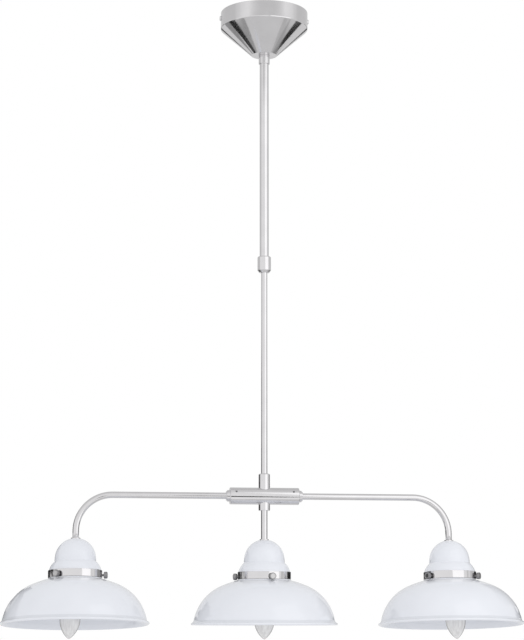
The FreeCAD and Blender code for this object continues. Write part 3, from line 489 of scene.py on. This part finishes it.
ENAMEL = coated("white_enamel", (0.83, 0.85, 0.905), (0.81, 0.83, 0.885), (0.10, 0.17), 0.25)
OPAL = coated("opal_glass", (0.83, 0.85, 0.905), (0.81, 0.83, 0.885), (0.06, 0.12), 0.4, 300, 0.05)
# painted shade: a darker opal for the crease between a shade's dome and its bead, where shadow gathers
OPAL_PAINTED_SHADE = coated("opal_crease_painted_shade", (0.75, 0.77, 0.82), (0.73, 0.75, 0.80), (0.12, 0.2), 0.1, 300, 0.05)
HOLDER = coated("holder_plastic", (0.70, 0.70, 0.68), (0.64, 0.64, 0.62), (0.3, 0.42))
NYLON = coated("terminal_plastic", (0.74, 0.74, 0.70), (0.66, 0.66, 0.62), (0.38, 0.5))
# the third colour is the painted shade at the glass's edges
BULB = glass("clear_glass", (1.0, 1.0, 1.0), (0.84, 0.83, 0.835), (0.14, 0.135, 0.135), (0.02, 0.08), 0.12)


def dress(item, finish):
    """Give a new piece its material."""
    item.data.materials.clear()
    item.data.materials.append(finish)


def dress_faces(item, place, finish, chosen):
    """Give a piece a second material on the faces whose centre, in its own millimetres, is chosen."""
    item.data.materials.append(finish)
    own = place.inverted()
    for face in item.data.polygons:
        if chosen(own @ (Vector(face.center) / MM)):
            face.material_index = 1


def dress_node(name, finish):
    """Give a carried-over CAD node its material."""
    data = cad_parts[name].data
    if not data.materials:
        data.materials.append(finish)
    for index in range(len(data.materials)):
        data.materials[index] = finish


# ---------------------------------------------------------------- ceiling end and rod

def make_canopy():
    slope = CANOPY_CONE_HEIGHT / (CANOPY_RADIUS - CANOPY_FLOOR_RADIUS)
    lift = CANOPY_WALL * math.sqrt(1 + slope * slope)
    inner = CANOPY_RADIUS - CANOPY_WALL
    cup = turned_piece("canopy_cup", [
        (NIPPLE_HOLE, CANOPY_FLOOR),
        (CANOPY_FLOOR_RADIUS, CANOPY_FLOOR),
        (CANOPY_RADIUS, -CANOPY_BAND_HEIGHT),
        (CANOPY_RADIUS, 0),
        (inner, 0),
        (inner, -CANOPY_BAND_HEIGHT - CANOPY_WALL * slope + lift),
        (CANOPY_FLOOR_RADIUS - (lift - CANOPY_WALL) / slope, CANOPY_FLOOR + CANOPY_WALL),
        (NIPPLE_HOLE, CANOPY_FLOOR + CANOPY_WALL),
    ], "ceiling_part", "canopy", soft=0.9, steps=FINE_ROUND)
    dress(cup, CHROME)


def make_ferrule():
    ferrule = turned_piece("rod_ferrule", [
        (ROD_HOLE, FERRULE_FOOT),
        (FERRULE_RADIUS - FERRULE_CHAMFER, FERRULE_FOOT),
        (FERRULE_RADIUS, FERRULE_FOOT + FERRULE_CHAMFER),
        (FERRULE_RADIUS, CANOPY_FLOOR),
        (NIPPLE_HOLE, CANOPY_FLOOR),
        (NIPPLE_HOLE, OUTER_TUBE_TOP),
        (ROD_HOLE, OUTER_TUBE_TOP),
    ], "ceiling_part", "ferrule", steps=SMALL_ROUND)
    dress(ferrule, CHROME)


def make_rod():
    """The two tubes of the telescopic rod."""
    outer = turned_piece("rod_outer_tube", ring(ROD_BORE, ROD_RADIUS, OUTER_TUBE_FOOT, OUTER_TUBE_TOP),
                         "ceiling_part", "outer_tube", soft=0.2, steps=SMALL_ROUND)
    dress(outer, CHROME)
    hub_roof = HUB_LEVEL + HUB_BORE
    inner = turned_piece("rod_inner_tube", ring(TUBE_BORE, TUBE_RADIUS, hub_roof, INNER_TUBE_TOP),
                         "drop_frame", "inner_tube", soft=0.2, steps=SMALL_ROUND)
    dress(inner, CHROME)


def make_clutch_collar():
    cone_radius = COLLET_CONE_RADIUS + SEAT
    cone_foot = OUTER_TUBE_FOOT - COLLET_CONE_HEIGHT - SEAT
    collar = turned_piece("rod_clutch_collar", [
        (TUBE_HOLE, CLUTCH_FOOT),
        (CLUTCH_NOSE_RADIUS, CLUTCH_FOOT),
        (CLUTCH_RADIUS, CLUTCH_FOOT + CLUTCH_NOSE_HEIGHT),
        (CLUTCH_RADIUS, CLUTCH_TOP - CLUTCH_TOP_FILLET),
        (CLUTCH_RADIUS - CLUTCH_TOP_FILLET, CLUTCH_TOP, CLUTCH_TOP_FILLET, 1),
        (ROD_HOLE, CLUTCH_TOP),
        (ROD_HOLE, OUTER_TUBE_FOOT + SEAT),
        (cone_radius, OUTER_TUBE_FOOT + SEAT),
        (cone_radius, OUTER_TUBE_FOOT),
        (COLLET_TIP_RADIUS + SEAT, cone_foot),
        (TUBE_HOLE, cone_foot),
    ], "clutch_collar", "clutch_collar", soft=0.25, steps=CLUTCH_ROUND)
    dress(collar, CHROME)


make_canopy()
make_ferrule()
make_rod()
make_clutch_collar()


# ---------------------------------------------------------------- one light

def arc_height(radius, across):
    """How high a circle stands over its centre, at a distance across from it."""
    return math.sqrt(radius ** 2 - across ** 2)


def dome(side_radius, side_arc, side_level, top_level, inset=0.0):
    """Two tangent arcs, or the parallel pair that lies the inset below them."""
    height = top_level - side_level
    across = side_radius - side_arc
    crown = (across ** 2 + height ** 2 - side_arc ** 2) / (2 * (height - side_arc))
    centre = top_level - crown
    share = (crown - inset) / (crown - side_arc)
    return {
        "crown": crown - inset,
        "crown_centre": centre,
        "side": side_arc - inset,
        "side_centre": across,
        "side_radius": side_radius - inset,
        "meet": (across * share, centre + (side_level - centre) * share),
    }


def cap_outline():
    skirt = BAND_BORE - GAP
    step = CAP_RADIUS + CAP_STEP_WIDTH
    under = CAP_TOP - CAP_WALL
    outer = dome(CAP_RADIUS, CAP_SIDE_ARC, CAP_STEP, CAP_TOP + CAP_CROWN_RISE)
    inner = dome(CAP_RADIUS, CAP_SIDE_ARC, CAP_STEP, CAP_TOP + CAP_CROWN_RISE, CAP_WALL)
    return [
        (TUBE_HOLE, under),
        (TUBE_HOLE, CAP_TOP),
        (arc_height(outer["crown"], CAP_TOP - outer["crown_centre"]), CAP_TOP),
        (*outer["meet"], outer["crown"], -1),
        (outer["side_radius"], CAP_STEP, outer["side"], -1),
        (step, CAP_SHOULDER_TOP),
        (skirt, BAND_TOP, CAP_SHOULDER_ARC, -1),
        (skirt, BAND_TOP - BAND_SKIRT),
        (skirt - CAP_WALL, BAND_TOP - BAND_SKIRT),
        (skirt - CAP_WALL, BAND_TOP),
        (step - CAP_WALL, CAP_SHOULDER_TOP, CAP_SHOULDER_ARC, 1),
        (inner["side_radius"], CAP_STEP),
        (*inner["meet"], inner["side"], 1),
        (arc_height(inner["crown"], under - inner["crown_centre"]), under, inner["crown"], 1),
    ]


def shade_outline():
    neck_bore = NECK_RADIUS - SHADE_WALL
    side_radius = RIM_RADIUS - RIM_OVERHANG
    full_height = DOME_HEIGHT + DOME_CENTRE_DROP
    side_arc = full_height - DOME_CROWN_RISE
    crown = dome(side_radius, side_arc, 0.0, full_height)["crown"]
    crown_top = BAND_FOOT - DOME_BELOW_BAND + crown - arc_height(crown, NECK_RADIUS)
    foot = crown_top - DOME_HEIGHT
    outer = dome(side_radius, side_arc, foot - DOME_CENTRE_DROP, crown_top)
    inner = dome(side_radius, side_arc, foot - DOME_CENTRE_DROP, crown_top, SHADE_WALL)

    # the flare leaves the dome without a bend and ends on the bead
    rise = RIM_FLARE_HEIGHT + DOME_CENTRE_DROP
    flare_radius = outer["side_centre"] + arc_height(outer["side"], rise)
    inner_flare_radius = inner["side_centre"] + arc_height(inner["side"], rise)
    across = RIM_RADIUS - RIM_BEAD_RADIUS - flare_radius
    down = RIM_FLARE_HEIGHT - 2 * RIM_BEAD_RADIUS
    lean = (across * (flare_radius - outer["side_centre"]) - down * rise) / outer["side"]
    flare_arc = (across ** 2 + down ** 2) / (2 * lean)
    return [
        (neck_bore, inner["crown_centre"] + arc_height(inner["crown"], neck_bore)),
        (*inner["meet"], inner["crown"], -1),
        (inner_flare_radius, foot + RIM_FLARE_HEIGHT, inner["side"], -1),
        (RIM_RADIUS - SHADE_WALL, foot),
        (RIM_RADIUS - RIM_BEAD_RADIUS, foot),
        (RIM_RADIUS, foot + RIM_BEAD_RADIUS, RIM_BEAD_RADIUS, 1),
        (RIM_RADIUS - RIM_BEAD_RADIUS, foot + 2 * RIM_BEAD_RADIUS, RIM_BEAD_RADIUS, 1),
        (flare_radius, foot + RIM_FLARE_HEIGHT, flare_arc, -1),
        (*outer["meet"], outer["side"], 1),
        (SHOULDER_RADIUS, outer["crown_centre"] + arc_height(outer["crown"], SHOULDER_RADIUS),
         outer["crown"], 1),
        (BAND_RADIUS - 0.2, BAND_FOOT - SEAT - 0.2, SHOULDER_ROUND, -1),
        (BAND_RADIUS - 0.6, BAND_FOOT - SEAT),
        (NECK_RADIUS, BAND_FOOT - SEAT),
        (NECK_RADIUS, LIP_FOOT),
        (NECK_RADIUS + NECK_LIP, LIP_FOOT),
        (NECK_RADIUS + NECK_LIP, LIP_FOOT + NECK_LIP_HEIGHT),
        (neck_bore, LIP_FOOT + NECK_LIP_HEIGHT),
    ]


def thumbscrew_outline():
    """A threaded shank, and a head with a sunk face. The tip is at the shade's neck."""
    threads = [
        (SCREW_RADIUS - THREAD_DEPTH * (turn % 2), SCREW_TIP + 0.4 + THREAD_STEP * turn)
        for turn in range(THREAD_COUNT)
    ]
    return [(0, SCREW_TIP), (SCREW_RADIUS - 0.4, SCREW_TIP)] + threads + [
        (SCREW_RADIUS, SCREW_HEAD),
        (SCREW_HEAD_RADIUS - 0.7, SCREW_HEAD),
        (SCREW_HEAD_RADIUS, SCREW_HEAD + 0.7),
        (SCREW_HEAD_RADIUS, SCREW_HEAD + SCREW_HEAD_LENGTH / 2),
        (SCREW_HEAD_RADIUS, SCREW_END - 0.8),
        (SCREW_FACE_RADIUS, SCREW_END),
        (SCREW_FACE_RADIUS - 0.6, SCREW_END),
        (SCREW_FACE_RADIUS - 1.0, SCREW_END - SCREW_FACE_DEPTH),
        (0, SCREW_END - SCREW_FACE_DEPTH),
    ]


def knurled(radius, angle):
    """Ridges round the head, and nothing on the parts of the screw that are thinner."""
    if radius > SCREW_HEAD_RADIUS - 0.1:
        return radius - KNURL_DEPTH * (1 - math.cos(KNURL_RIDGES * angle))
    return radius


def make_cap(light, body, place):
    cap = turned_piece(light + "_cap_shell", cap_outline(), body, light + "_cap", place, soft=0.35)
    dress(cap, ENAMEL)


def make_shade(light, body, place):
    """The opal shade, with painted shade: the faces in the crease between its dome and its bead take a darker
    opal.
    """
    points = shade_outline()
    shade = turned_piece(light + "_shade_shell", points, body, light + "_shade", place, soft=0.6,
                         steps=FINE_ROUND)
    dress(shade, OPAL)
    foot = min(point[1] for point in points)
    least_radius = RIM_RADIUS - SHADE_WALL - 2.0
    # painted shade in the crease above the bead
    dress_faces(shade, place, OPAL_PAINTED_SHADE, lambda spot: (
        spot.xy.length > least_radius and 2 * RIM_BEAD_RADIUS < spot.z - foot < RIM_FLARE_HEIGHT))


def make_band(light, body, place):
    band = turned_piece(light + "_band_ring", ring(BAND_BORE, BAND_RADIUS, BAND_FOOT, BAND_TOP), body,
                        light + "_band", place, soft=0.25)
    dress(band, CHROME)


def make_washer(light, body, place):
    washer = turned_piece(light + "_washer_ring",
                          ring(TUBE_HOLE, WASHER_RADIUS, CAP_TOP, CAP_TOP + WASHER_HEIGHT), body,
                          light + "_washer", place, soft=0.4, steps=SMALL_ROUND)
    dress(washer, CHROME)


def make_thumbscrews(light, place):
    """Three screws round the band, each on a body of its own."""
    for number in (1, 2, 3):
        name = f"{light}_thumbscrew_{number}"
        along = place @ turn_about("Z", 120 * (number - 1)) @ turn_about("Y", 90, 0, 0, SCREW_LEVEL)
        screw = turned_piece(name + "_knurled", thumbscrew_outline(), name, name, along, soft=0.15,
                             steps=4 * KNURL_RIDGES, relief=knurled)
        # the knurled side and the face take chrome darkened as painted shade
        dress(screw, KNURL_PAINTED_SHADE)
        dress_faces(screw, along, SCREW_FACE_PAINTED_SHADE, lambda spot: (
            spot.z > SCREW_END - 0.9 and spot.xy.length < SCREW_FACE_RADIUS - 0.1))


for light, settings in LIGHTS.items():
    hanging = turn_about("X", settings["swivel"], settings["offset"], 0, HUB_LEVEL)
    clocked = hanging @ turn_about("Z", settings["clocking"])
    make_cap(light, settings["body"], hanging)
    make_shade(light, settings["body"], clocked)
    make_band(light, settings["body"], clocked)
    make_washer(light, settings["body"], hanging)
    make_thumbscrews(light, clocked)


# ---------------------------------------------------------------- arms and drop

def make_arm(light, side):
    """A bent tube from inside the bar down to the cap, with the flange that holds it in its bush."""
    inner_end = HUB_HALF - BUSH_DEPTH - SEAT - ARM_FLANGE
    bend_start = ARM_SPAN - ARM_BEND
    straight = bend_start - inner_end
    route = [(inner_end + straight * i / ARM_STRAIGHT_STEPS, 0.0) for i in range(ARM_STRAIGHT_STEPS + 1)]
    route += [
        (bend_start + ARM_BEND * math.sin(math.radians(a)), ARM_BEND * (math.cos(math.radians(a)) - 1))
        for a in range(ARM_BEND_STEP, 91, ARM_BEND_STEP)
    ]
    route += [(ARM_SPAN, TUBE_END)]
    vertices, faces = swept_tube([(x * side, z) for x, z in route], TUBE_RADIUS, TUBE_BORE)
    flange_points, flange_faces = turned(outline(ring(
        TUBE_RADIUS - GAP, ARM_FLANGE_RADIUS, inner_end, inner_end + ARM_FLANGE)), SMALL_ROUND)
    turned_over = turn_about("Y", 90 * side)
    shift = len(vertices)
    vertices += [tuple(turned_over @ Vector(point)) for point in flange_points]
    faces += [tuple(index + shift for index in face) for face in flange_faces]
    item = new_piece(f"arm_{light}_bent_tube", vertices, faces, LIGHTS[light]["body"], "arm_" + light,
                     turn_about("X", LIGHTS[light]["swivel"], 0, 0, HUB_LEVEL))
    dress(item, CHROME)


def make_drop_tube():
    drop = turned_piece("drop_tube_turned", ring(TUBE_BORE, TUBE_RADIUS, TUBE_END, -HUB_BORE),
                        "drop_frame", "drop_tube", Matrix.Translation((0, 0, HUB_LEVEL)), soft=0.2,
                        steps=SMALL_ROUND)
    dress(drop, CHROME)


make_arm("left", -1)
make_arm("right", 1)
make_drop_tube()


# ---------------------------------------------------------------- carried-over nodes

NODE_FINISHES = (
    ("bulb_glass", BULB), ("bulb_filament", TUNGSTEN), ("bulb_base", CAP_BRASS), ("lampholder", HOLDER),
    ("contact_sleeve", BRASS), ("terminal_block", NYLON), ("ceiling_bracket", ZINC),
    ("grub_screws", DARK_STEEL), ("_cap", ENAMEL), ("_shade", OPAL),
)
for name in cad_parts:
    dress_node(name, next((finish for ending, finish in NODE_FINISHES if name.endswith(ending)), CHROME))


# ---------------------------------------------------------------- studio

LAMP_MIDDLE = Vector((0, 0, -0.75))
FRONT_CARD_RADIUS = 3.5
FRONT_CARD_LEVELS = (-1.9, 0.85)
FLOOR_LEVEL = -1.86
FLOOR_HALF = 9.0
FLOOR_GLOW = 0.79       # brightness of the floor's glowing outer part as gloss reflects it
WORLD_LIGHT = 0.89
# brightness that metal sees from the front horizon, at 0, up over the lamp to the back one, at 1
SKY = ((0.0, 0.72), (0.11, 0.72), (0.15, 1.0), (0.25, 0.93), (0.33, 0.83), (0.42, 0.80), (0.5, 0.74),
       (0.56, 0.70))


def make_floor():
    """A pale floor that turns to plain white further out, and is clear when seen from below."""
    mesh = bpy.data.meshes.new("floor")
    corners = [(x * FLOOR_HALF, y * FLOOR_HALF, FLOOR_LEVEL) for x, y in ((-1, -1), (1, -1), (1, 1), (-1, 1))]
    mesh.from_pydata(corners, [], [(0, 1, 2, 3)])
    item = bpy.data.objects.new("floor", mesh)
    bpy.context.scene.collection.objects.link(item)
    made, tree, shader = material("pale_floor")
    shader.inputs["Roughness"].default_value = 0.7
    cloud = noise(tree, 1.5, 3)
    tree.links.new(blended(tree, cloud, (0.75, 0.75, 0.75), (0.77, 0.77, 0.77)),
                   shader.inputs["Base Color"])
    glow = tree.nodes.new("ShaderNodeEmission")
    path = tree.nodes.new("ShaderNodeLightPath")
    tree.links.new(ranged(tree, path.outputs["Is Glossy Ray"], 1.0, FLOOR_GLOW, 0.0, 1.0),
                   glow.inputs["Strength"])
    position = tree.nodes.new("ShaderNodeTexCoord")
    flat = tree.nodes.new("ShaderNodeMapping")
    flat.inputs["Scale"].default_value = (1, 1, 0)
    length = tree.nodes.new("ShaderNodeVectorMath")
    length.operation = "LENGTH"
    tree.links.new(position.outputs["Object"], flat.inputs["Vector"])
    tree.links.new(flat.outputs["Vector"], length.inputs[0])
    away = ranged(tree, length.outputs["Value"], 0.35, 1.0, 1.2, 3.5)
    above = mixed(tree, away, shader.outputs["BSDF"], glow.outputs["Emission"])
    sides = tree.nodes.new("ShaderNodeNewGeometry")
    clear = tree.nodes.new("ShaderNodeBsdfTransparent")
    both = mixed(tree, sides.outputs["Backfacing"], above, clear.outputs["BSDF"])
    output = next(node for node in tree.nodes if node.type == "OUTPUT_MATERIAL")
    tree.links.new(both, output.inputs["Surface"])
    item.data.materials.append(made)


def sky_tone(tree):
    """The colour of SKY over the angle from the front horizon, up and over to the back."""
    around = tree.nodes.new("ShaderNodeTexCoord")
    parts = tree.nodes.new("ShaderNodeSeparateXYZ")
    tree.links.new(around.outputs["Generated"], parts.inputs["Vector"])
    forward = maths(tree, "MULTIPLY", parts.outputs["Y"], -1.0)
    over = maths(tree, "ARCTAN2", parts.outputs["Z"], forward)
    ramp = tree.nodes.new("ShaderNodeValToRGB")
    stops = ramp.color_ramp.elements
    for height, tone in SKY:
        stops.new(height).color = (tone, tone, tone, 1)
    stops.remove(stops[0])
    stops.remove(stops[-1])
    tree.links.new(maths(tree, "DIVIDE", over, math.pi), ramp.inputs["Fac"])
    return ramp.outputs["Color"]


def make_world():
    """White where the camera or glass looks, SKY where metal looks, and a plain soft light on all."""
    world = bpy.data.worlds.new("studio")
    bpy.context.scene.world = world
    world.use_nodes = True
    tree = world.node_tree
    tree.nodes.clear()
    path = tree.nodes.new("ShaderNodeLightPath")
    light = tree.nodes.new("ShaderNodeBackground")
    light.inputs["Color"].default_value = (1, 1, 1, 1)
    light.inputs["Strength"].default_value = WORLD_LIGHT
    mirrored = tree.nodes.new("ShaderNodeMix")
    mirrored.data_type = "RGBA"
    mirrored.inputs["A"].default_value = (1, 1, 1, 1)
    tree.links.new(path.outputs["Is Glossy Ray"], mirrored.inputs["Factor"])
    tree.links.new(sky_tone(tree), mirrored.inputs["B"])
    white = tree.nodes.new("ShaderNodeBackground")
    tree.links.new(mirrored.outputs["Result"], white.inputs["Color"])
    seen = maths(tree, "MAXIMUM", path.outputs["Is Camera Ray"], path.outputs["Is Glossy Ray"])
    shown = maths(tree, "MAXIMUM", seen, path.outputs["Is Transmission Ray"])
    output = tree.nodes.new("ShaderNodeOutputWorld")
    tree.links.new(mixed(tree, shown, light.outputs["Background"], white.outputs["Background"]),
                   output.inputs["Surface"])


def softbox(name, azimuth, elevation, distance, width, height, level, in_gloss=True):
    """An area lamp aimed at the lamp's middle. level is its brightness as a metal reflects it."""
    a, e = math.radians(azimuth), math.radians(elevation)
    offset = Vector((math.sin(a) * math.cos(e), -math.cos(a) * math.cos(e), math.sin(e)))
    data = bpy.data.lights.new(name, "AREA")
    data.shape = "RECTANGLE"
    data.size, data.size_y = width, height
    data.energy = level * math.pi * width * height
    item = bpy.data.objects.new(name, data)
    bpy.context.scene.collection.objects.link(item)
    item.location = LAMP_MIDDLE + offset * distance
    item.rotation_mode = "QUATERNION"
    item.rotation_quaternion = (-offset).to_track_quat("-Z", "Y")
    item.visible_glossy = in_gloss


def card(name, corners, faces, tone, in_glass=False):
    """A studio card round the lamp, placed as the camera sees it.

    It shows only in reflections, and with in_glass also through glass.
    """
    about = Matrix.Rotation(CAMERA_AZIMUTH, 4, "Z")
    mesh = bpy.data.meshes.new(name)
    mesh.from_pydata([about @ Vector(corner) for corner in corners], [], faces)
    item = bpy.data.objects.new(name, mesh)
    bpy.context.scene.collection.objects.link(item)
    made, _, shader = material(name)
    shader.inputs["Base Color"].default_value = (0, 0, 0, 1)
    shader.inputs["Specular IOR Level"].default_value = 0.0
    shader.inputs["Emission Color"].default_value = (tone, tone, tone, 1)
    shader.inputs["Emission Strength"].default_value = 1.0
    made.cycles.emission_sampling = "NONE"
    item.data.materials.append(made)
    item.visible_camera = False
    item.visible_diffuse = False
    item.visible_shadow = False
    item.visible_transmission = in_glass


def upright(name, x, points, tone, in_glass=False):
    """An upright card beside the lamp: its corners are given as (depth, height)."""
    card(name, [(x, depth, height) for depth, height in points], [tuple(range(len(points)))], tone, in_glass)


def box(near, far, low, high):
    """The corners of a rectangle for upright."""
    return [(near, low), (far, low), (far, high), (near, high)]


def make_front_card():
    """A white screen that curves round the lamp's front."""
    corners, faces = [], []
    for index, azimuth in enumerate(range(-76, 77, 8)):
        a = math.radians(azimuth)
        x, y = FRONT_CARD_RADIUS * math.sin(a), -FRONT_CARD_RADIUS * math.cos(a)
        corners += [(x, y, level) for level in FRONT_CARD_LEVELS]
        if index:
            faces.append((2 * index - 2, 2 * index, 2 * index + 1, 2 * index - 1))
    card("front_card", corners, faces, 1.0)


def make_cards():
    """The screens that give chrome, shades and lamps their dark and grey edges."""
    upright("low_card_left", -1.0, [(0.345, -1.5), (0.66, -1.2), (0.66, -0.78), (0.345, -1.05)], 0.02, True)
    upright("low_card_right", 1.0, [(0.475, -1.4), (0.84, -1.1), (0.84, -0.68), (0.475, -0.95)], 0.02, True)
    upright("grey_card_left", -1.0, [(-0.04, -1.82), (0.345, -1.4), (0.345, -1.1), (-0.04, -1.6)], 0.36)
    upright("grey_card_right", 1.0, [(-0.04, -1.82), (0.475, -1.3), (0.475, -1.0), (-0.04, -1.6)], 0.56)
    for side, name in ((-1, "left"), (1, "right")):
        upright("back_card_" + name, 3.0 * side, box(2.3, 9.0, -0.95, -0.3), 0.03)
        upright("band_card_" + name, 0.645 * side, box(0.56, 1.1, -1.1, -0.957), 0.02)
    upright("side_card_left", -1.01, [
        (0.05, -0.955), (0.5, -0.955), (0.6, -0.86), (0.62, -0.72), (0.75, -0.62), (1.2, -0.5), (1.2, -0.3),
        (0.84, -0.4), (0.45, -0.52), (0.2, -0.68), (0.05, -0.85),
    ], 0.03)
    upright("patch_card_left", -1.01, [
        (0.61, -0.9), (1.1, -0.9), (1.1, -0.68), (0.9, -0.6), (0.76, -0.62), (0.63, -0.72),
    ], 0.34)
    upright("edge_card_left", -0.64, [
        (0.24, -0.952), (0.55, -0.95), (0.7, -0.9), (0.98, -0.88), (0.98, -0.845), (0.64, -0.8),
        (0.62, -0.70), (0.3, -0.68), (0.24, -0.78), (0.4, -0.84), (0.3, -0.9),
    ], 0.08)
    upright("rim_card_left", -0.64, box(0.16, 0.5, -1.06, -0.997), 0.08)
    upright("edge_card_right", 0.64, [
        (0.26, -0.955), (1.0, -0.955), (1.0, -0.45), (0.74, -0.5), (0.5, -0.6), (0.26, -0.72),
    ], 0.35)
    upright("dim_card_right", 0.64, [(0.1, -0.92), (0.255, -0.92), (0.255, -0.72), (0.1, -0.8)], 0.45)
    card("floor_card", [(-0.3, -2.4, -1.85), (1.7, -2.4, -1.85), (1.7, -0.95, -1.85), (-0.3, -0.95, -1.85)],
         [(0, 1, 2, 3)], 1.05)
    card("camera_card", [
        (0.6, -3.2, -1.10), (0.8, -3.2, -1.12), (1.02, -3.2, -1.50), (1.02, -3.2, -1.95), (0.6, -3.2, -2.25),
    ], [(0, 1, 2, 3, 4)], 0.01)


make_world()
make_floor()
make_front_card()
make_cards()
softbox("key_softbox", 36, 15, 1.15, 1.0, 1.4, 0.40)
softbox("front_fill", -5, 0, 3.0, 2.5, 1.5, 0.25, in_gloss=False)
bpy.context.scene.view_settings.view_transform = "Standard"
